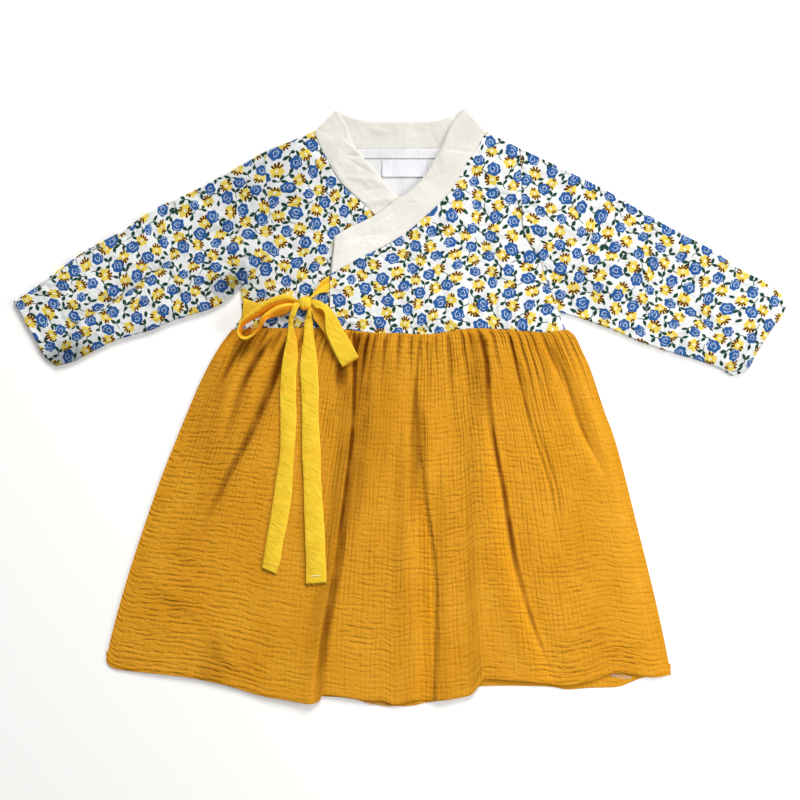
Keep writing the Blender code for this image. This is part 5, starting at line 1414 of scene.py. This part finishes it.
def creased(grid, creases):
    """Presses creases into a laid tape, each with its height, slope, half width and depth, as troughs with a
    low ridge below, and returns the share of its painted shade: in the troughs and on slopes away from the
    window."""
    x, y = grid[..., 0], grid[..., 1]
    tone = 0 * x
    for level, slope, half, depth in creases:
        apart = y - level - slope * (x - x.mean(axis=1, keepdims=True))
        grid[..., 2] += depth * (1.5 * bell(apart + 1.2 * half, half) - 0.9 * bell(apart, half))
        tone = np.maximum(tone, 0.7 * depth * bell(apart, half))
    return np.maximum(tone, shaded(grid))


def free_tape(table, lift):
    """Tape through rows that each give both of its edges in full, and between them its middle where it
    arches."""
    rows = smooth_curve(table, TAPE_SPANS)
    s = near_edges(TAPE_COLUMNS)[None, :, None]
    first, last = rows[:, None, :3], rows[:, None, -3:]
    middle = rows[:, None, 3:6] if rows.shape[1] == 9 else (first + last) / 2
    grid = first * (1 - s) * (1 - 2 * s) + 4 * middle * s * (1 - s) + last * s * (2 * s - 1)
    grid[..., 2] += lift
    return grid


def knot_grid():
    """Tied knot: a superellipsoid with the pleats of the tape that is wound over it, which are deeper
    towards the skirt."""
    theta, phi = np.meshgrid(np.linspace(0, math.tau, 129), np.linspace(0.001, math.pi - 0.001, 61))

    def signed(a, power):
        """Power of the size of a number, with its sign kept."""
        return np.sign(a) * np.abs(a) ** power

    x = signed(np.cos(theta), 0.8) * signed(np.sin(phi), 0.85)
    y = signed(np.sin(theta), 0.75) * signed(np.sin(phi), 0.85)
    z = signed(np.cos(phi), 0.9)
    lean = x + 0.22 * y
    low = ease((0.35 - y) / 1.1)
    pleats = 0.035 + 0.075 * low
    groove = pleats * (1 - np.abs(np.sin(3.1 * lean + 0.5))) ** 2 + 0.05 * low * np.sin(11 * lean + 2 * y)
    waist = 1 - 0.14 * (1 - y**2) + 0.05 * np.sin(2.3 * y + 0.6)
    size = np.array(KNOT_SIZE) / 2
    grid = np.dstack([x * waist * size[0], y * size[1] * (1 - 0.10 * x),
                      z * (1 - groove * (z > 0)) * size[2]])
    return grid + np.array(KNOT_CENTRE)


def knot_piece(name, material):
    """The knot's cloth, with painted shade that is deepest towards the skirt and on sides turned from the
    window.
    """
    grid = knot_grid()
    uv = np.dstack([grid[..., 0] - KNOT_CENTRE[0], grid[..., 1]])
    low = (KNOT_CENTRE[1] - grid[..., 1]) / KNOT_SIZE[1]
    tone = np.maximum(0.9 * shaded(grid), 0.75 * ease((low - 0.05) / 0.4))
    return tube_sheet(name, grid[:, :-1], uv, material, {"painted_shading": tone[:, :-1]})


def stitch_row(name, path, length, gap, width, material):
    """Row of thread stitches along a path: each is a six-sided spindle, round in the middle and sunk at its
    ends."""
    run = run_along(path)
    count = int(run[-1] / (length + gap))
    starts = (np.arange(count) + 0.5) * run[-1] / count
    middle = np.column_stack([np.interp(starts, run, c) for c in path.T])
    ahead = np.column_stack([np.interp(starts + 0.5, run, c) for c in path.T])
    behind = np.column_stack([np.interp(starts - 0.5, run, c) for c in path.T])
    way = ahead - behind
    way /= np.linalg.norm(way, axis=1)[:, None]
    side = np.cross(np.broadcast_to((0, 0, 1), way.shape), way)
    side /= np.linalg.norm(side, axis=1)[:, None]
    up = np.cross(way, side)
    place = np.linspace(-1, 1, 5)
    thick = np.array([0.35, 0.85, 1.0, 0.85, 0.35]) * width / 2
    sink = -0.7 * width * place**4
    turn = np.arange(6) * math.tau / 6
    points = middle[:, None, None] + way[:, None, None] * (place * length / 2)[None, :, None, None] \
        + side[:, None, None] * (thick[:, None] * np.cos(turn))[None, :, :, None] \
        + up[:, None, None] * (thick[:, None] * np.sin(turn) + sink[:, None])[None, :, :, None]
    ring, corner = np.meshgrid(np.arange(4), np.arange(6), indexing="ij")
    ring, corner = ring.ravel(), corner.ravel()
    beside = (corner + 1) % 6
    sides = np.column_stack([ring * 6 + corner, ring * 6 + beside, (ring + 1) * 6 + beside,
                             (ring + 1) * 6 + corner])
    caps = np.array([[3, 2, 1, 0], [5, 4, 3, 0], [24, 25, 26, 27], [24, 27, 28, 29]])
    one = np.vstack([sides, caps])
    faces = (one[None] + (np.arange(count) * 30)[:, None, None]).reshape(-1, 4)
    flat = points.reshape(-1, 3)
    return quad_mesh(name, flat, flat[:, :2], faces, faces, material)


def finish_piece(piece, slot, *nodes):
    """Rides on the dress, is given a slot that it does not use, and stands for the solids it is made on."""
    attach(piece, "root")
    if nodes:
        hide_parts(*nodes)
    return piece


lawn = printed_lawn()
gauze = double_gauze()
linen = linen_cotton("off-white linen cotton", "#F8F7F1", "#E8E6DF")
white_cotton = linen_cotton("plain white cotton", "#EFF0F1", "#DEE0E2", 0.8)
label_cloth = linen_cotton("white satin label", "#EFEEF7", "#E6E5F0", 0.6)
tape_cloth = cotton_tape()
mustard_thread = sewing_thread("mustard sewing thread", "#C98A22")
white_thread = sewing_thread("white sewing thread", "#F2F0EA")
pale_thread = sewing_thread("pale mustard sewing thread", "#E8BE74")

over_grid, over_uv = bodice_over()
under_grid, under_uv = bodice_under()
back_grid, back_uv = bodice_back()
skirt_grid, skirt_uv, skirt_marks = skirt_front()
skirt_back_grid, skirt_back_uv, skirt_back_marks = skirt_back()

over_piece = open_sheet("over_front_cloth", over_grid, over_uv + CUT_AT["over"], lawn, lawn_tones(over_grid))
under_piece = open_sheet("under_front_cloth", under_grid, under_uv + CUT_AT["under"], lawn,
                         lawn_tones(under_grid))
back_piece = open_sheet("bodice_back_cloth", back_grid, back_uv + CUT_AT["back"], lawn, upside_down=True)
skirt_piece = open_sheet("skirt_front_cloth", skirt_grid, skirt_uv, gauze, skirt_marks)
skirt_back_piece = open_sheet("skirt_back_cloth", skirt_back_grid, skirt_back_uv, gauze, skirt_back_marks,
                              upside_down=True)
finish_piece(over_piece, "printed_lawn", "bodice_front_over")
finish_piece(under_piece, "printed_lawn", "bodice_front_under")
finish_piece(back_piece, "printed_lawn", "bodice_back")
finish_piece(skirt_piece, "double_gauze", "skirt_front")
finish_piece(skirt_back_piece, "double_gauze", "skirt_back")

for name, edges, away, seed in (
        ("sleeve_left", (SLEEVE_LEFT_TOP, SLEEVE_LEFT_BOTTOM, ARMHOLE_LEFT, CUFF_LEFT), (-1.2, 0.3), 91),
        ("sleeve_right", (SLEEVE_RIGHT_TOP, SLEEVE_RIGHT_BOTTOM, ARMHOLE_RIGHT, CUFF_RIGHT), (1.4, 0.5), 95)):
    tube, tube_uv = sleeve(*edges, away, seed)
    piece = tube_sheet(name + "_cloth", tube, tube_uv + (0, seed * 10), lawn, lawn_tones(tube))
    finish_piece(piece, "printed_lawn", name)

collar_points, collar_uv = collar_grid()
# Painted shade: greyer towards the collar's back, and along its border.
collar_painted_shade = ease((collar_points[..., 1] - COLLAR_PAINTED_SHADE[0]) / COLLAR_PAINTED_SHADE[1])
collar_piece = thick_sheet("collar_band", collar_points, collar_uv + CUT_AT["collar"], LINEN, linen,
                           collar_painted_shade)
finish_piece(collar_piece, "linen", "collar")

lining_left, lining_right = smooth_curve(LINING_LEFT, 8), smooth_curve(LINING_RIGHT, 8)
u_lining, v_lining = np.linspace(0, 1, 60), np.linspace(0, 1, len(lining_left))
lining_top = np.linspace(lining_left[0], lining_right[0], len(u_lining))
lining_foot = np.linspace(lining_left[-1], lining_right[-1], len(u_lining))
lining_flat = coons(lining_top, lining_foot, lining_left, lining_right, u_lining, v_lining)


def lining_height(flat):
    """Height of the neck lining, with low soft waves."""
    return LINING_LEVEL + 0.18 * wander(flat[..., 0], flat[..., 1], 17, 13, 101)


lining_grid = with_heights(lining_flat, lining_height(lining_flat))
lining_piece = open_sheet("neck_lining", lining_grid, lining_flat, white_cotton)
finish_piece(lining_piece, "white_cotton", "back_lining")


def flat_patch(name, corners, columns, rows, curl, material, node):
    """Small patch on the lining between four corners, whose lower edge curls up."""
    top_left, top_right, low_left, low_right = np.array(corners)
    u, v = np.linspace(0, 1, columns)[None, :, None], np.linspace(0, 1, rows)[:, None, None]
    grid = (1 - v) * ((1 - u) * top_left + u * top_right) + v * ((1 - u) * low_left + u * low_right)
    z = lining_height(grid) + PATCH_LIFT + curl * v[..., 0] ** 3
    piece = thick_sheet(name, with_heights(grid, z), grid, PATCH, material)
    return finish_piece(piece, "white_cotton", node)


tape_piece = flat_patch("neck_tape_strip", NECK_TAPE, 60, 9, 0.0, white_cotton, "neck_tape")
label_piece = flat_patch("bare_neck_label", LABEL, 45, 21, LABEL_CURL, label_cloth, "neck_label")

cloth_tops = height_map([under_grid, skirt_grid, over_grid])
side_lead = laid_tape(TIE_SIDE_LEAD, cloth_tops, 0.3, 111)
tail_left = laid_tape(TIE_TAIL_LEFT, cloth_tops, 0.5, 113)
tail_right = laid_tape(TIE_TAIL_RIGHT, cloth_tops, 0.5, 115)
front_lead = free_tape(TIE_FRONT_LEAD, 0.0)
front_lead[..., 2] += 0.5 - 1.1 * bell(np.linspace(0, 1, front_lead.shape[1]) - 0.36, 0.10)
loop_left = free_tape(LOOP_LEFT, 6.0)
loop_right = free_tape(LOOP_RIGHT, 7.2)
across = np.linspace(0, 1, loop_left.shape[1])[None, :]
# Painted shade makes the left loop deeper in tone over part of its width: on its way out before row 126, and
# on its way back after row 132.
going, coming = (ease((first - np.arange(len(loop_left))[:, None]) / 18) for first in (126, 150))
inner_face = 0.95 * ease((0.76 - across) / 0.16) * going
outer_face = 0.95 * ease((across - 0.46) / 0.16) * (1 - coming)
# Painted shade inside the right loop, below its upper pass, and along the crease of the front lead.
under_loop = ease((10.0 - loop_right[..., 2]) / 1.5)
in_loop = bell(np.hypot(loop_right[..., 0] + 74.5, loop_right[..., 1] - 88.5), 13) * under_loop
front_shares = np.linspace(0, 1, front_lead.shape[1])[None, :] + 0 * front_lead[..., 0]
# Painted shade on the ties: in their creases and loops, and on faces turned from the window; the ties not
# listed take it from the way they face.
tones = {"left_tie_tail": creased(tail_left, LEFT_CREASES),
         "right_tie_tail": creased(tail_right, RIGHT_CREASES),
         "left_bow_loop": np.maximum(shaded(loop_left), inner_face + outer_face),
         "right_bow_loop": np.maximum(shaded(loop_right), 0.9 * in_loop),
         "front_tie_lead": np.maximum(shaded(front_lead), 0.7 * bell(front_shares - 0.36, 0.09))}
# Over its first 45 mm painted shade makes the left tail slightly deeper in tone beside a slanting line, where
# it is doubled.
left_y, left_s = tail_left[..., 1], np.linspace(-1, 1, tail_left.shape[1])[None, :]
second_ply = ease((left_s + 0.56 - 0.86 * ease((left_y - 58) / 23)) / 0.12) * ease((82 - left_y) / 3)
tones["left_tie_tail"] = np.maximum(tones["left_tie_tail"], 0.38 * second_ply * ease((left_y - 38) / 20))
for name, grid, node in (("side_tie_lead", side_lead, "tie_side_lead"),
                         ("front_tie_lead", front_lead, "tie_front_lead"),
                         ("left_tie_tail", tail_left, "tie_tail_left"),
                         ("right_tie_tail", tail_right, "tie_tail_right"),
                         ("left_bow_loop", loop_left, "bow_loop_left"),
                         ("right_bow_loop", loop_right, "bow_loop_right")):
    piece = thick_sheet(name, grid, tape_uv(grid), TAPE, tape_cloth, tones.get(name, shaded(grid)))
    finish_piece(piece, "cotton_tape", node)
finish_piece(knot_piece("tied_knot", tape_cloth), "cotton_tape", "bow_knot")


def sewn_on(surface, ends, lift, count=40):
    """Path between two points over a grid of points, at the height of the nearest point of the grid."""
    flat = np.linspace(*np.array(ends), count)
    near = np.linalg.norm(surface.reshape(-1, 1, 3)[..., :2] - flat, axis=2).argmin(axis=0)
    return np.column_stack([flat, surface.reshape(-1, 3)[near, 2] + lift])


hem_row = SKIRT_ROWS - round(SKIRT_ROWS * HEM_TURN / SKIRT_CUT[1])
hem_path = skirt_grid[hem_row, 6:-6] + (0, 0, 0.12)
hem_stitches = stitch_row("hem_topstitches", hem_path, 2.6, 0.9, 0.45, mustard_thread)
finish_piece(hem_stitches, "double_gauze")
for name, ends, count, thread in (
        ("right_hem_overlock", [(199.5, -254.6), (219.5, -257.4)], 27, white_thread),
        ("left_hem_overlock", [(-35.0, -280.2), (-10.0, -284.0)], 33, pale_thread)):
    path = sewn_on(skirt_back_grid, ends, 0.0, count)
    path[:, 1] += 1.5 * (-1.0) ** np.arange(count)
    path[:, 2] = path[:, 2].max() + 0.2
    length = float(np.linalg.norm(path[1] - path[0])) - 0.01
    finish_piece(stitch_row(name, path, length, 0.0, 0.42, thread), "double_gauze")
for name, surface, ends, length, thread in (
        ("right_tail_stitches", tail_right, [(-87.0, -160.0), (-75.4, -158.9)], 11.0, white_thread),
        ("left_tail_stitches", tail_left, [(-130.6, -146.2), (-115.8, -150.6)], 2.2, tape_cloth)):
    row = stitch_row(name, sewn_on(surface, ends, TAPE / 2 + 0.1), length, 0.0, 0.8, thread)
    finish_piece(row, "cotton_tape")

# The floor reaches 3 m each way. It glows a little, so that it is as white as the cut-out behind the dress.
FLOOR_REACH = 3.0
FLOOR_GLOW = 0.14
WHITE = (1.0, 1.0, 1.0, 1.0)
floor_mesh = bpy.data.meshes.new("floor")
corners = [(-FLOOR_REACH, -FLOOR_REACH, 0), (FLOOR_REACH, -FLOOR_REACH, 0), (FLOOR_REACH, FLOOR_REACH, 0),
           (-FLOOR_REACH, FLOOR_REACH, 0)]
floor_mesh.from_pydata(corners, [], [(0, 1, 2, 3)])
floor_paint = bpy.data.materials.new("matt white board, lit from below")
floor_paint.use_nodes = True
plug(floor_paint.node_tree.nodes["Principled BSDF"],
     {"Base Color": colour("#FBFBFA"), "Roughness": 0.9,
      "Emission Color": WHITE, "Emission Strength": FLOOR_GLOW})
floor_mesh.materials.append(floor_paint)
floor = placed("floor", floor_mesh)


def soft_light(name, place, target, size, watts, tint):
    """Square soft light that points at a place."""
    data = bpy.data.lights.new(name, "AREA")
    data.shape, data.size, data.energy, data.color = "SQUARE", size, watts, tint
    light = placed(name, data)
    light.location = place
    way = np.array(target) - np.array(place)
    yaw, pitch = math.atan2(-way[0], way[1]), math.acos(-way[2] / np.linalg.norm(way))
    light.rotation_euler = (pitch, 0, yaw)


soft_light("north window", (0.5, 3.0, 2.3), (0.0, 0.0, 0.0), 1.5, 119.0, (1.0, 0.985, 0.965))
soft_light("east window", (1.0, -0.1, 0.75), (0.1, 0.0, 0.0), 0.6, 8.2, (1.0, 0.98, 0.95))
soft_light("ceiling", (0.1, 0.1, 2.4), (0.0, 0.0, 0.0), 2.2, 7.6, (1.0, 1.0, 1.0))
world = bpy.data.worlds.new("room")
world.use_nodes = True
plug(world.node_tree.nodes["Background"], {"Color": WHITE, "Strength": 0.19})
bpy.context.scene.world = world
bpy.context.scene.view_settings.view_transform = "Standard"

# Straight above the dress. The picture is as wide as 800 pixels of 0.95 mm of cloth.
CAMERA_HEIGHT = 1.5
CLOTH_HEIGHT = 0.004    # of the front of the dress, on the whole
PICTURE_WIDTH = 0.760
PICTURE_MIDDLE = (-0.00095, 0.0071)
SENSOR = 36.0
camera_data = bpy.data.cameras.new("camera")
camera_data.sensor_width = SENSOR
camera_data.lens = SENSOR * (CAMERA_HEIGHT - CLOTH_HEIGHT) / PICTURE_WIDTH
camera = placed("camera", camera_data)
camera.location = (*PICTURE_MIDDLE, CAMERA_HEIGHT)
bpy.context.scene.camera = camera
